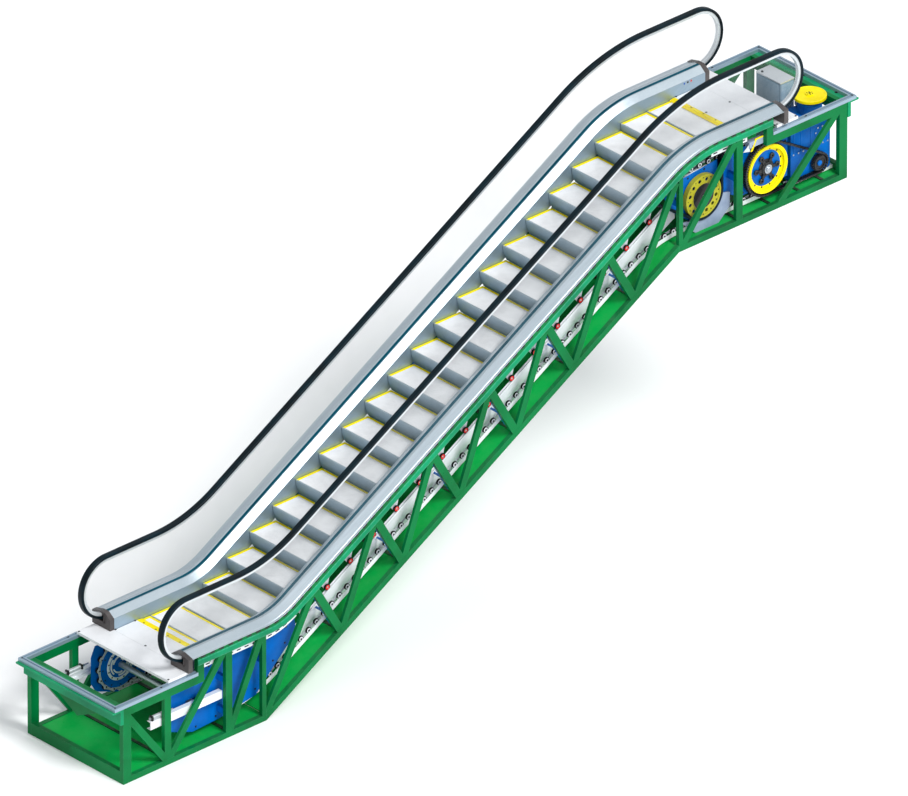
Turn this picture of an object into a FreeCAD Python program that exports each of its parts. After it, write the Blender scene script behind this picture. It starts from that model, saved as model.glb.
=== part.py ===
import FreeCAD, Part
import math
import os

# Escalator. Millimetres. +X runs up the slope, +Y across to the far side, +Z up.
# The origin is on the underside of the lower support flange, at the centre of
# its bearing strip. Level positions at the lower landing are measured from the
# lower end of the truss, and those at the upper landing from the upper end.

Vector = FreeCAD.Vector

# ---- overall sizes ----
RISE = 3640.0                # lower floor to upper floor
SLOPE_DEG = 30.0
STEP_WIDTH = 1000.0
STEP_PITCH = 406.0
SIDE_ZONE = 300.0            # edge of a step to the outside of the truss
FLOOR_HEIGHT = 1050.0        # truss underside to floor
LOWER_FLAT = 2165.0          # level part of the truss at the lower landing
UPPER_FLAT = 2594.0
LOW_CURVE = 1500.0           # radii of the line that the steps follow
HIGH_CURVE = 1500.0
WORK_OFFSET = 92.3           # bottom knee to the working point of the steps

# ---- truss ----
CHORD_DEPTH = 72.0
CHORD_WIDTH = 60.0
POST_WIDTH = 96.0
POST_DEPTH = 52.0
END_POST_WIDTH = 120.0
DIAGONAL_WIDTH = 84.0
DIAGONAL_DEPTH = 40.0
END_BEAM_HEIGHT = 150.0
END_BEAM_WIDTH = 60.0
RIM_DEPTH = 110.0
GUSSET_HALF = 620.0
GUSSET_DEPTH = 320.0
GUSSET_THICKNESS = 8.0
LOWER_NODES = (677.0, 1602.0)
INCLINE_NODES = (1344.0, 2425.0, 3430.0, 4432.0, 5434.0, 6522.0)
UPPER_NODE_FROM_KNEE = 932.0
LOWER_HEAD_POST = 1128.0     # from the lower end
UPPER_HEAD_POST = 1152.0     # from the upper end
TOP_CHORD_LEVEL = (55.0, 157.0)      # bottom and top above the floor
TOP_CHORD_SLOPE = (-50.0, 70.0)      # the same, square to the slope
TOP_CHORD_LOW_CURVE = 900.0
TOP_CHORD_HIGH_CURVE = 1500.0
PAN_THICKNESS = 6.0
PAN_DROP = 8.0               # pan top below the top of the chords
RIB_WIDTH = 40.0
RIB_HEIGHT = 14.0

# ---- support angles ----
SUPPORT_REACH = 164.0
SUPPORT_THICKNESS = 20.0
SUPPORT_LEG = 195.0
SUPPORT_PROUD = 45.0
SUPPORT_OVERHANG = 10.0      # beyond the truss side

# ---- pit rim and floor plates ----
TRIM_OUT = 130.0             # beyond the truss end
TRIM_SIDE = 9.0              # beyond the truss side
TRIM_WIDTH = 66.0
TRIM_HEIGHT = 41.0
TRIM_GROOVE = 20.0
PLATE_THICKNESS = 34.0
PLATE_INSET = 34.0           # truss side to the edge of a floor plate
LOWER_PLATE = (716.0, 1043.0)
UPPER_PLATE = (734.0, 1057.0)
LOWER_COMB_PLATE = (1043.0, 1378.0)
UPPER_COMB_PLATE = (1057.0, 1459.0)
COMB_LENGTH = 90.0
COMB_THICKNESS = 14.0
COMB_PLATE_HEEL = 66.0
LANDING_BEAM_WIDTH = 80.0
PLATE_JOINT = 2.0

# ---- steps ----
TREAD_DROP = 20.0            # tread below the floor
TREAD_THICKNESS = 32.0
RISER_THICKNESS = 14.0
RISER_GAP = 6.0              # tread edge to the next riser
RISER_DEG = 32.0
CHEEK_THICKNESS = 12.0
AXLE_DROP = 180.0
AXLE_BACK = 75.0
AXLE_RADIUS = 12.0
ROLLER_DROP = 378.0
ROLLER_BACK = 244.0
ROLLER_RADIUS = 38.0
ROLLER_WIDTH = 25.0
ROLLER_FACE = 12.0           # step edge to the roller's inner face

# ---- balustrade ----
SKIRT_GAP = 5.0
SKIRT_THICKNESS = 5.0
SKIRT_AXLE_GAP = 6.0
SKIRT_TOP = -16.0            # heights over the top of the truss
DECK_TOP = 46.0
DECK_SHEET = 4.0
DECK_FLAT = (90.0, 178.0)    # step edge to the two edges of the deck's flat top
DECK_FLANGE = 26.0           # outer edge that lies on the truss
STRIP_START = 102.0          # step edge to the strip
STRIP_WIDTH = 38.0
STRIP_THICKNESS = 3.0
SEAT = 0.3                   # gap at a seated joint
CAP_THICKNESS = 65.0
BUTTON_FROM_END = 1307.0
BUTTON_PITCH = 52.0
BUTTON_HEIGHT = 118.0
BUTTON_RADIUS = 15.0
BUTTON_PROUD = 4.0
LOWER_CAP = 985.0            # outer face, from the lower end
UPPER_CAP = 919.0
HANDRAIL_OUT = 165.0         # step edge to the handrail's centre
HANDRAIL_WIDTH = 80.0
HANDRAIL_THICKNESS = 34.0
HANDRAIL_LEVEL = 873.0
HANDRAIL_LIFT = 850.0
HANDRAIL_LOW_CURVE = 1800.0
HANDRAIL_HIGH_CURVE = 2600.0
NEWEL_RADIUS = 378.0
LOWER_NEWEL = 1070.0
UPPER_NEWEL = 981.0
GUIDE_WIDTH = 46.0
GUIDE_DEPTH = 36.0
GLASS_THICKNESS = 12.0
RETURN_HEIGHT = 117.0        # returning handrail above the floors
RETURN_RISE = 45.0           # the same above the slope

# ---- step chain and tracks ----
CHAIN_FACE = 56.0            # step edge to the chain's inner face
CHAIN_WIDTH = 12.0
CHAIN_HEIGHT = 40.0
RETURN_LOWER = -815.0        # returning chain, from the floors and the slope
RETURN_UPPER = -900.0
RETURN_SLOPE = -630.0
TRACK_THICKNESS = 8.0
TRACK_LIP_THICKNESS = 4.0
TRACK_CHAIN_GAP = 6.0
TRACK_FACE = 118.7           # step edge to the outside of the chain tracks
ROLLER_TRACK = (8.0, 46.0)   # step edge to the two edges of the roller track
TRACK_LIPS = (20.0, 12.0, 45.0)
GUARD_SPAN = (-741.0, -480.0)        # from the line of the steps
GUARD_THICKNESS = 3.0
GUARD_END = 200.0            # beyond the upper knee
PANEL_THICKNESS = 8.0
UPPER_PANEL_THICKNESS = 5.0
BRACKET_THICKNESS = 8.0
BRACKET_SPAN = (-175.0, -765.0)
BRACKET_ARM = 55.0
LOWER_TURN = 1180.0
TURN_SHAFT_RADIUS = 36.0
CARRIAGE = (473.0, 1552.0)
CARRIAGE_HALF = 50.0
CARRIAGE_DEPTH = 60.0
CARRIAGE_SHEET = 6.0
SPRING_RADIUS = 26.0
SPRING_LENGTH = 190.0
SPRING_ROD_RADIUS = 9.0
DRIVE_FROM_END = 1144.0      # main shaft, from the upper end

# ---- driving machine ----
RUNNING_GAP = 0.5
SHAFT_RADIUS = 55.0
DRIVE_WHEEL_RADIUS = 320.0
DRIVE_WHEEL_WIDTH = 70.0
DRIVE_WHEEL_FACE = 145.0     # step edge to the wheel's inner face
DRIVE_CHAIN_THICKNESS = 26.0
PINION_RADIUS = 106.0
PINION_FROM_END = 334.0
PINION_HEIGHT = 272.0        # above the truss underside
HANDRAIL_WHEEL_FROM_END = 2121.0
HANDRAIL_WHEEL_HEIGHT = 505.0
HANDRAIL_WRAP_RADIUS = 285.0
HANDRAIL_LEAVE_DEG = 35.0
HANDRAIL_BEND = 250.0
HANDRAIL_DROP_BEND = 180.0
HUB_RADIUS = 165.0
HANDRAIL_SHAFT_RADIUS = 30.0
HANDRAIL_WHEEL_WIDTH = 60.0
HUB_THICKNESS = 24.0
SHOE_THICKNESS = 20.0

# ---- derived places ----
SLOPE = math.radians(SLOPE_DEG)
TAN = math.tan(SLOPE)
COS = math.cos(SLOPE)
SIN = math.sin(SLOPE)
RUN = RISE / TAN
STEP_EDGE = STEP_WIDTH / 2
TREAD_DEPTH = STEP_PITCH - RISER_GAP
SIDE = STEP_EDGE + SIDE_ZONE
X0 = SUPPORT_REACH / 2
KNEE_LOW = X0 + LOWER_FLAT
KNEE_HIGH = KNEE_LOW + RUN
X1 = KNEE_HIGH + UPPER_FLAT
SEAT_TO_FLOOR = SUPPORT_THICKNESS + TRIM_HEIGHT + PLATE_THICKNESS
FLOOR_LOW = SEAT_TO_FLOOR
FLOOR_HIGH = FLOOR_LOW + RISE
BASE_LOW = FLOOR_LOW - FLOOR_HEIGHT
BASE_HIGH = BASE_LOW + RISE
RIM_TOP = SUPPORT_THICKNESS
WORK_LOW = KNEE_LOW + WORK_OFFSET
HANDRAIL_Y = STEP_EDGE + HANDRAIL_OUT
MAIN_X = X1 - DRIVE_FROM_END
CHAIN_LEVEL = -TREAD_DROP - AXLE_DROP
SKIRT_BELOW = AXLE_DROP * COS + AXLE_BACK * SIN - AXLE_RADIUS - SKIRT_AXLE_GAP
MAIN_RADIUS = (CHAIN_LEVEL - RETURN_UPPER) / 2
MAIN_Z = FLOOR_HIGH + CHAIN_LEVEL - MAIN_RADIUS
TURN_RADIUS = (CHAIN_LEVEL - RETURN_LOWER) / 2
TURN_X = X0 + LOWER_TURN
TURN_Z = FLOOR_LOW + CHAIN_LEVEL - TURN_RADIUS


# ---- helpers ----
def at(x, z, y=0.0):
    return Vector(x, y, z)


def block(x0, x1, y0, y1, z0, z1):
    return Part.makeBox(x1 - x0, y1 - y0, z1 - z0, Vector(x0, y0, z0))


def disc(x, z, radius, y0, y1):
    return Part.makeCylinder(radius, y1 - y0, Vector(x, y0, z), Vector(0, 1, 0))


def post(x, y, radius, z0, z1):
    return Part.makeCylinder(radius, z1 - z0, Vector(x, y, z0), Vector(0, 0, 1))


def plate(points, y0, y1):
    """A flat plate in the side plane, from y0 to y1."""
    corners = [at(x, z, y0) for x, z in points]
    face = Part.Face(Part.makePolygon(corners + corners[:1]))
    return face.extrude(Vector(0, y1 - y0, 0))


def bar(start, end, width, y0, y1):
    """A flat bar between two points of the side plane."""
    dx = end[0] - start[0]
    dz = end[1] - start[1]
    length = math.hypot(dx, dz)
    nx = -dz / length * width / 2
    nz = dx / length * width / 2
    corners = [
        (start[0] + nx, start[1] + nz),
        (start[0] - nx, start[1] - nz),
        (end[0] - nx, end[1] - nz),
        (end[0] + nx, end[1] + nz),
    ]
    return plate(corners, y0, y1)


def join(shapes):
    shape = shapes[0]
    if len(shapes) > 1:
        shape = shape.multiFuse(shapes[1:])
    return shape.removeSplitter()


def cut(shape, tools):
    return shape.cut(Part.makeCompound(tools))


def group(shapes):
    return Part.makeCompound(shapes)


def other_side(shape):
    return shape.mirror(Vector(0, 0, 0), Vector(0, 1, 0))


def both_sides(shape):
    return group([shape, other_side(shape)])


class StepLine:
    """Level, curve, slope, curve, level: a line that follows the steps.

    level and high_level are heights over the two floors, and lift is the
    height over the working line, measured straight up, on the slope.
    """

    def __init__(self, level, lift, low_curve, high_curve, high_level=None):
        top = level if high_level is None else high_level
        self.low_z = FLOOR_LOW + level
        self.high_z = FLOOR_HIGH + top
        self.low_x = WORK_LOW + (level - lift) / TAN
        self.high_x = WORK_LOW + (RISE + top - lift) / TAN
        self.low_curve = low_curve
        self.high_curve = high_curve
        self.low_reach = low_curve * math.tan(SLOPE / 2)
        self.high_reach = high_curve * math.tan(SLOPE / 2)

    def points(self):
        """Ends and middles of the curves, from the lower to the upper."""
        half = SLOPE / 2
        cx = self.low_x - self.low_reach
        cz = self.low_z + self.low_curve
        low_start = (cx, self.low_z)
        low_middle = (cx + self.low_curve * math.sin(half), cz - self.low_curve * math.cos(half))
        low_end = (self.low_x + self.low_reach * COS, self.low_z + self.low_reach * SIN)
        hx = self.high_x + self.high_reach
        hz = self.high_z - self.high_curve
        high_start = (self.high_x - self.high_reach * COS, self.high_z - self.high_reach * SIN)
        high_middle = (hx - self.high_curve * math.sin(half), hz + self.high_curve * math.cos(half))
        high_end = (hx, self.high_z)
        return low_start, low_middle, low_end, high_start, high_middle, high_end

    def edges(self, x0, x1, y=0.0):
        low_start, low_middle, low_end, high_start, high_middle, high_end = self.points()
        result = [line((x0, self.low_z), low_start, y)]
        result.append(arc(low_start, low_middle, low_end, y))
        result.append(line(low_end, high_start, y))
        result.append(arc(high_start, high_middle, high_end, y))
        result.append(line(high_end, (x1, self.high_z), y))
        return result

    def at_length(self, length):
        """The point at a length along the line from its lower curve's start."""
        low_start, low_middle, low_end, high_start, high_middle, high_end = self.points()
        low_arc = self.low_curve * SLOPE
        high_arc = self.high_curve * SLOPE
        straight = math.hypot(high_start[0] - low_end[0], high_start[1] - low_end[1])
        if length < 0:
            return (low_start[0] + length, self.low_z)
        if length < low_arc:
            turn = length / self.low_curve
            x = low_start[0] + self.low_curve * math.sin(turn)
            return (x, self.low_z + self.low_curve * (1 - math.cos(turn)))
        length = length - low_arc
        if length < straight:
            return (low_end[0] + length * COS, low_end[1] + length * SIN)
        length = length - straight
        if length < high_arc:
            turn = SLOPE - length / self.high_curve
            x = high_end[0] - self.high_curve * math.sin(turn)
            return (x, self.high_z - self.high_curve * (1 - math.cos(turn)))
        return (high_end[0] + length - high_arc, self.high_z)


def line(start, end, y=0.0):
    return Part.LineSegment(at(start[0], start[1], y), at(end[0], end[1], y)).toShape()


def arc(start, middle, end, y=0.0):
    points = [at(p[0], p[1], y) for p in (start, middle, end)]
    return Part.Arc(points[0], points[1], points[2]).toShape()


def turned(centre, radius, degrees):
    turn = math.radians(degrees)
    return (centre[0] + radius * math.cos(turn), centre[1] + radius * math.sin(turn))


def arc_about(centre, radius, start_deg, end_deg, y=0.0):
    middle = (start_deg + end_deg) / 2
    points = [turned(centre, radius, a) for a in (start_deg, middle, end_deg)]
    return arc(points[0], points[1], points[2], y)


def square_line(height):
    """A line at a set distance square to the working line."""
    return StepLine(height, height / COS, LOW_CURVE - height, HIGH_CURVE + height)


def shifted_line(dx, dz):
    """The line that a point of every step follows, dx behind and dz over its nose."""
    level = -TREAD_DROP + dz
    return StepLine(level, dz - TAN * dx, LOW_CURVE, HIGH_CURVE)


def below_line(base, drop):
    """A line at a set distance square under another."""
    level = base.low_z - FLOOR_LOW - drop
    high_level = base.high_z - FLOOR_HIGH - drop
    lift = base.low_z - FLOOR_LOW + TAN * (WORK_LOW - base.low_x) - drop / COS
    return StepLine(level, lift, base.low_curve + drop, base.high_curve - drop, high_level)


def band(bottom, top, x0, x1, y0, y1):
    """A plate between two lines, cut off upright at x0 and x1."""
    edges = bottom.edges(x0, x1, y0)
    edges.append(line((x1, bottom.high_z), (x1, top.high_z), y0))
    edges.extend(top.edges(x0, x1, y0))
    edges.append(line((x0, top.low_z), (x0, bottom.low_z), y0))
    wire = Part.Wire(Part.__sortEdges__(edges))
    return Part.Face(wire).extrude(Vector(0, y1 - y0, 0))


def follow(profile, x0, x1, base):
    """Carry a (y, height) outline along a line, square to it."""
    low_start, low_middle, low_end, high_start, high_middle, high_end = base.points()
    corners = [Vector(x0, y, base.low_z + h) for y, h in profile]
    face = Part.Face(Part.makePolygon(corners + corners[:1]))
    parts = [face.extrude(Vector(low_start[0] - x0, 0, 0))]
    face = face.translated(Vector(low_start[0] - x0, 0, 0))
    low_centre = at(low_start[0], base.low_z + base.low_curve)
    parts.append(face.revolve(low_centre, Vector(0, -1, 0), SLOPE_DEG))
    face = face.rotated(low_centre, Vector(0, -1, 0), SLOPE_DEG)
    climb = Vector(high_start[0] - low_end[0], 0, high_start[1] - low_end[1])
    parts.append(face.extrude(climb))
    face = face.translated(climb)
    high_centre = at(high_end[0], base.high_z - base.high_curve)
    parts.append(face.revolve(high_centre, Vector(0, 1, 0), SLOPE_DEG))
    face = face.rotated(high_centre, Vector(0, 1, 0), SLOPE_DEG)
    parts.append(face.extrude(Vector(x1 - high_end[0], 0, 0)))
    return join(parts)


def near_side(points):
    """Mirror (y, height) points to the near side, at minus Y."""
    return [(-y, h) for y, h in points]


# ---- truss ----
TOP_CHORD_BOTTOM = StepLine(
    TOP_CHORD_LEVEL[0], TOP_CHORD_SLOPE[0] / COS, TOP_CHORD_LOW_CURVE, TOP_CHORD_HIGH_CURVE)
TOP_CHORD_TOP = StepLine(
    TOP_CHORD_LEVEL[1], TOP_CHORD_SLOPE[1] / COS, TOP_CHORD_LOW_CURVE, TOP_CHORD_HIGH_CURVE)
HEAD_LOW_X = X0 + LOWER_HEAD_POST
HEAD_HIGH_X = X1 - UPPER_HEAD_POST


def side_bar(start, end, width, depth):
    return bar(start, end, width, -SIDE + 2, -SIDE + 2 + depth)


def top_chord(x0, x1):
    whole = band(TOP_CHORD_BOTTOM, TOP_CHORD_TOP, HEAD_LOW_X, HEAD_HIGH_X, -SIDE, -SIDE + CHORD_WIDTH)
    return whole.common(block(x0, x1, -SIDE - 1, -SIDE + CHORD_WIDTH + 1, BASE_LOW, FLOOR_HIGH + 900))


def chord_bottom_height(x):
    """Height of the top chord's underside where the posts reach it."""
    if x < TOP_CHORD_BOTTOM.low_x:
        return TOP_CHORD_BOTTOM.low_z
    if x > TOP_CHORD_BOTTOM.high_x:
        return TOP_CHORD_BOTTOM.high_z
    return TOP_CHORD_BOTTOM.low_z + TAN * (x - TOP_CHORD_BOTTOM.low_x)


def incline_post_ends(distance):
    foot = (KNEE_LOW + distance * COS, BASE_LOW + distance * SIN)
    depth = (TOP_CHORD_BOTTOM.low_z - BASE_LOW - TAN * (TOP_CHORD_BOTTOM.low_x - KNEE_LOW)) * COS
    head = (foot[0] - (depth + 40) * SIN, foot[1] + (depth + 40) * COS)
    return foot, head


def side_lower():
    inner = -SIDE + CHORD_WIDTH
    parts = [block(X0, KNEE_LOW, -SIDE, inner, BASE_LOW, BASE_LOW + CHORD_DEPTH)]
    parts.append(block(X0, X0 + END_POST_WIDTH, -SIDE, inner, BASE_LOW, RIM_TOP))
    parts.append(block(X0, HEAD_LOW_X + POST_WIDTH, -SIDE, inner, RIM_TOP - RIM_DEPTH, RIM_TOP))
    parts.append(block(HEAD_LOW_X, HEAD_LOW_X + POST_WIDTH, -SIDE, inner, RIM_TOP - 1, FLOOR_LOW + 100))
    parts.append(top_chord(HEAD_LOW_X, KNEE_LOW))
    middle = BASE_LOW + CHORD_DEPTH / 2
    feet = [X0 + x for x in LOWER_NODES]
    heads = (RIM_TOP - RIM_DEPTH / 2, chord_bottom_height(feet[1]) + 40)
    for foot, head in zip(feet, heads):
        parts.append(side_bar((foot, middle), (foot, head), POST_WIDTH, POST_DEPTH))
    starts = ((X0 + END_POST_WIDTH / 2, RIM_TOP - RIM_DEPTH), (feet[0], middle), (feet[1], middle))
    ends = ((feet[0], middle), (feet[1] - 60, chord_bottom_height(feet[1]) + 30),
            (KNEE_LOW - 60, chord_bottom_height(KNEE_LOW) + 20))
    for start, end in zip(starts, ends):
        parts.append(side_bar(start, end, DIAGONAL_WIDTH, DIAGONAL_DEPTH))
    knee_post = side_bar((KNEE_LOW - 30, middle), (KNEE_LOW - 30, chord_bottom_height(KNEE_LOW) + 30), 60, POST_DEPTH)
    parts.append(knee_post)
    return join(parts)


def bottom_slope(x0, x1, drop0, drop1):
    """A slanting plate under the slope, between two heights over its underside."""
    points = [
        (x0, BASE_LOW + TAN * (x0 - KNEE_LOW) + drop0),
        (x1, BASE_LOW + TAN * (x1 - KNEE_LOW) + drop0),
        (x1, BASE_LOW + TAN * (x1 - KNEE_LOW) + drop1),
        (x0, BASE_LOW + TAN * (x0 - KNEE_LOW) + drop1),
    ]
    return points


def side_incline():
    inner = -SIDE + CHORD_WIDTH
    parts = [plate(bottom_slope(KNEE_LOW, KNEE_HIGH, 0.0, CHORD_DEPTH / COS), -SIDE, inner)]
    parts.append(top_chord(KNEE_LOW, KNEE_HIGH))
    previous = (KNEE_LOW, BASE_LOW)
    raise_x = -CHORD_DEPTH / 2 * SIN
    raise_z = CHORD_DEPTH / 2 * COS
    ends = [incline_post_ends(d) for d in INCLINE_NODES]
    for foot, head in ends:
        start = (foot[0] + raise_x, foot[1] + raise_z)
        parts.append(side_bar(start, head, POST_WIDTH, POST_DEPTH))
        parts.append(side_bar((previous[0] + raise_x, previous[1] + raise_z), head, DIAGONAL_WIDTH, DIAGONAL_DEPTH))
        previous = foot
    last_head = (KNEE_HIGH - 40, chord_bottom_height(KNEE_HIGH) - 40)
    parts.append(side_bar((previous[0] + raise_x, previous[1] + raise_z), last_head, DIAGONAL_WIDTH, DIAGONAL_DEPTH))
    slot = block(KNEE_LOW, KNEE_HIGH, -SIDE - 1, inner + 1, BASE_LOW - 400, FLOOR_HIGH + 900)
    return join(parts).common(slot)


def side_upper():
    inner = -SIDE + CHORD_WIDTH
    rim = RIM_TOP + RISE
    parts = [block(KNEE_HIGH, X1, -SIDE, inner, BASE_HIGH, BASE_HIGH + CHORD_DEPTH)]
    parts.append(block(X1 - END_POST_WIDTH, X1, -SIDE, inner, BASE_HIGH, rim))
    parts.append(block(HEAD_HIGH_X - POST_WIDTH, X1, -SIDE, inner, rim - RIM_DEPTH, rim))
    parts.append(block(HEAD_HIGH_X - POST_WIDTH, HEAD_HIGH_X, -SIDE, inner, rim - 1, FLOOR_HIGH + 100))
    parts.append(top_chord(KNEE_HIGH, HEAD_HIGH_X))
    middle = BASE_HIGH + CHORD_DEPTH / 2
    foot = KNEE_HIGH + UPPER_NODE_FROM_KNEE
    head = chord_bottom_height(foot) + 40
    parts.append(side_bar((foot, middle), (foot, head), POST_WIDTH, POST_DEPTH))
    parts.append(side_bar((KNEE_HIGH + 30, middle), (KNEE_HIGH + 30, chord_bottom_height(KNEE_HIGH)), 60, POST_DEPTH))
    parts.append(side_bar((KNEE_HIGH + 40, middle), (foot - 60, head - 60), DIAGONAL_WIDTH, DIAGONAL_DEPTH))
    brace_foot = HEAD_HIGH_X - POST_WIDTH / 2 + 150
    parts.append(side_bar((brace_foot, middle), (X1 - END_POST_WIDTH, rim - RIM_DEPTH / 2), DIAGONAL_WIDTH, DIAGONAL_DEPTH))
    return join(parts)


def end_frame(x0, x1, base, rim):
    """Bottom and top beams across one end of the truss."""
    inside = SIDE - CHORD_WIDTH
    low_beam = block(x0, x1, -inside, inside, base, base + END_BEAM_HEIGHT)
    top_beam = block(x0, x1, -inside, inside, rim - RIM_DEPTH, rim)
    return low_beam, top_beam


def end_lower():
    low_beam, top_beam = end_frame(X0, X0 + END_BEAM_WIDTH, BASE_LOW, RIM_TOP)
    high = RIM_TOP - RIM_DEPTH + 1
    points = [Vector(X0 + 30, -GUSSET_HALF, high), Vector(X0 + 30, GUSSET_HALF, high)]
    points.append(Vector(X0 + 30, 0, high - GUSSET_DEPTH))
    gusset = Part.Face(Part.makePolygon(points + points[:1])).extrude(Vector(GUSSET_THICKNESS, 0, 0))
    return group([low_beam, join([top_beam, gusset])])


def end_upper():
    low_beam, top_beam = end_frame(X1 - END_BEAM_WIDTH, X1, BASE_HIGH, RIM_TOP + RISE)
    return group([low_beam, top_beam])


def bottom_ribs():
    """Flat bars across the pan at each joint of the sides."""
    inside = SIDE - CHORD_WIDTH
    top_low = BASE_LOW + CHORD_DEPTH - PAN_DROP
    top_high = BASE_HIGH + CHORD_DEPTH - PAN_DROP
    ribs = []
    for x in LOWER_NODES:
        ribs.append(block(X0 + x - RIB_WIDTH / 2, X0 + x + RIB_WIDTH / 2, -inside, inside, top_low, top_low + RIB_HEIGHT))
    for distance in INCLINE_NODES:
        centre = KNEE_LOW + distance * COS
        height = BASE_LOW + distance * SIN
        rise = CHORD_DEPTH - PAN_DROP
        start = (centre - rise * SIN - RIB_WIDTH / 2 * COS, height + rise * COS - RIB_WIDTH / 2 * SIN)
        end = (centre - rise * SIN + RIB_WIDTH / 2 * COS, height + rise * COS + RIB_WIDTH / 2 * SIN)
        points = [
            start,
            end,
            (end[0] - RIB_HEIGHT * SIN, end[1] + RIB_HEIGHT * COS),
            (start[0] - RIB_HEIGHT * SIN, start[1] + RIB_HEIGHT * COS),
        ]
        ribs.append(plate(points, -inside, inside))
    for x in (KNEE_HIGH + UPPER_NODE_FROM_KNEE, HEAD_HIGH_X, X1 - 700, X1 - 330):
        ribs.append(block(x - RIB_WIDTH / 2, x + RIB_WIDTH / 2, -inside, inside, top_high, top_high + RIB_HEIGHT))
    return group(ribs)


def pan_lower():
    inside = SIDE - CHORD_WIDTH
    top = BASE_LOW + CHORD_DEPTH - PAN_DROP
    return block(X0 + END_BEAM_WIDTH, KNEE_LOW - 6, -inside, inside, top - PAN_THICKNESS, top)


def pan_incline():
    inside = SIDE - CHORD_WIDTH
    top = (CHORD_DEPTH - PAN_DROP) / COS
    return plate(bottom_slope(KNEE_LOW, KNEE_HIGH - 4, top - PAN_THICKNESS, top), -inside, inside)


def pan_upper():
    inside = SIDE - CHORD_WIDTH
    top = BASE_HIGH + CHORD_DEPTH - PAN_DROP
    return block(KNEE_HIGH + 4, X1 - END_BEAM_WIDTH, -inside, inside, top - PAN_THICKNESS, top)


def support_lower():
    reach = SIDE + SUPPORT_OVERHANG
    flange = block(X0 - SUPPORT_REACH, X0, -reach, reach, 0, SUPPORT_THICKNESS)
    leg = block(X0 - SUPPORT_PROUD, X0, -reach, reach, SUPPORT_THICKNESS - SUPPORT_LEG, 1)
    return join([flange, leg])


def support_upper():
    reach = SIDE + SUPPORT_OVERHANG
    flange = block(X1, X1 + SUPPORT_REACH, -reach, reach, RISE, RISE + SUPPORT_THICKNESS)
    leg = block(X1, X1 + SUPPORT_PROUD, -reach, reach, RISE + SUPPORT_THICKNESS - SUPPORT_LEG, RISE + 1)
    return join([flange, leg])


# ---- pit rims and floor plates ----
def pit_trim(outer, inner, floor):
    """A grooved rim round three sides of a pit; outer is the end over the support."""
    low = floor - PLATE_THICKNESS - TRIM_HEIGHT
    high = floor - PLATE_THICKNESS
    sign = 1 if inner > outer else -1
    edge = SIDE + TRIM_SIDE
    parts = []
    for side in (-1, 1):
        ys = sorted((side * edge, side * (edge - TRIM_WIDTH)))
        xs = sorted((outer, inner))
        parts.append(block(xs[0], xs[1], ys[0], ys[1], low, high))
    xs = sorted((outer, outer + sign * TRIM_WIDTH))
    parts.append(block(xs[0], xs[1], -edge, edge, low, high))
    grooves = []
    start = (TRIM_WIDTH - TRIM_GROOVE) / 2
    for side in (-1, 1):
        ys = sorted((side * (edge - start), side * (edge - start - TRIM_GROOVE)))
        xs = sorted((outer + sign * start, inner))
        grooves.append(block(xs[0], xs[1], ys[0], ys[1], high - 12, high + 1))
    xs = sorted((outer + sign * start, outer + sign * (start + TRIM_GROOVE)))
    grooves.append(block(xs[0], xs[1], -edge + start, edge - start, high - 12, high + 1))
    return cut(join(parts), grooves)


def floor_plate(x0, x1, floor):
    half = SIDE - PLATE_INSET
    return block(x0, x1, -half, half, floor - PLATE_THICKNESS, floor)


def comb_plate(heel, toe, floor):
    """Thick at the floor plate, thin over the steps."""
    sign = 1 if toe > heel else -1
    half = STEP_EDGE
    thin = sorted((heel, toe))
    thick = sorted((heel, heel + sign * COMB_PLATE_HEEL))
    parts = [block(thin[0], thin[1], -half, half, floor - COMB_THICKNESS, floor)]
    parts.append(block(thick[0], thick[1], -half, half, floor - PLATE_THICKNESS, floor))
    return join(parts)


def landing_beam(heel, sign, floor):
    inside = SIDE - CHORD_WIDTH
    xs = sorted((heel - sign * 20, heel + sign * (LANDING_BEAM_WIDTH - 20)))
    top = floor - PLATE_THICKNESS
    return block(xs[0], xs[1], -inside, inside, top - TRIM_HEIGHT - 10, top)


def comb(start, sign, floor):
    xs = sorted((start + sign * 0.5, start + sign * COMB_LENGTH))
    return block(xs[0], xs[1], -STEP_EDGE, STEP_EDGE, floor - COMB_THICKNESS, floor - 1)


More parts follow.
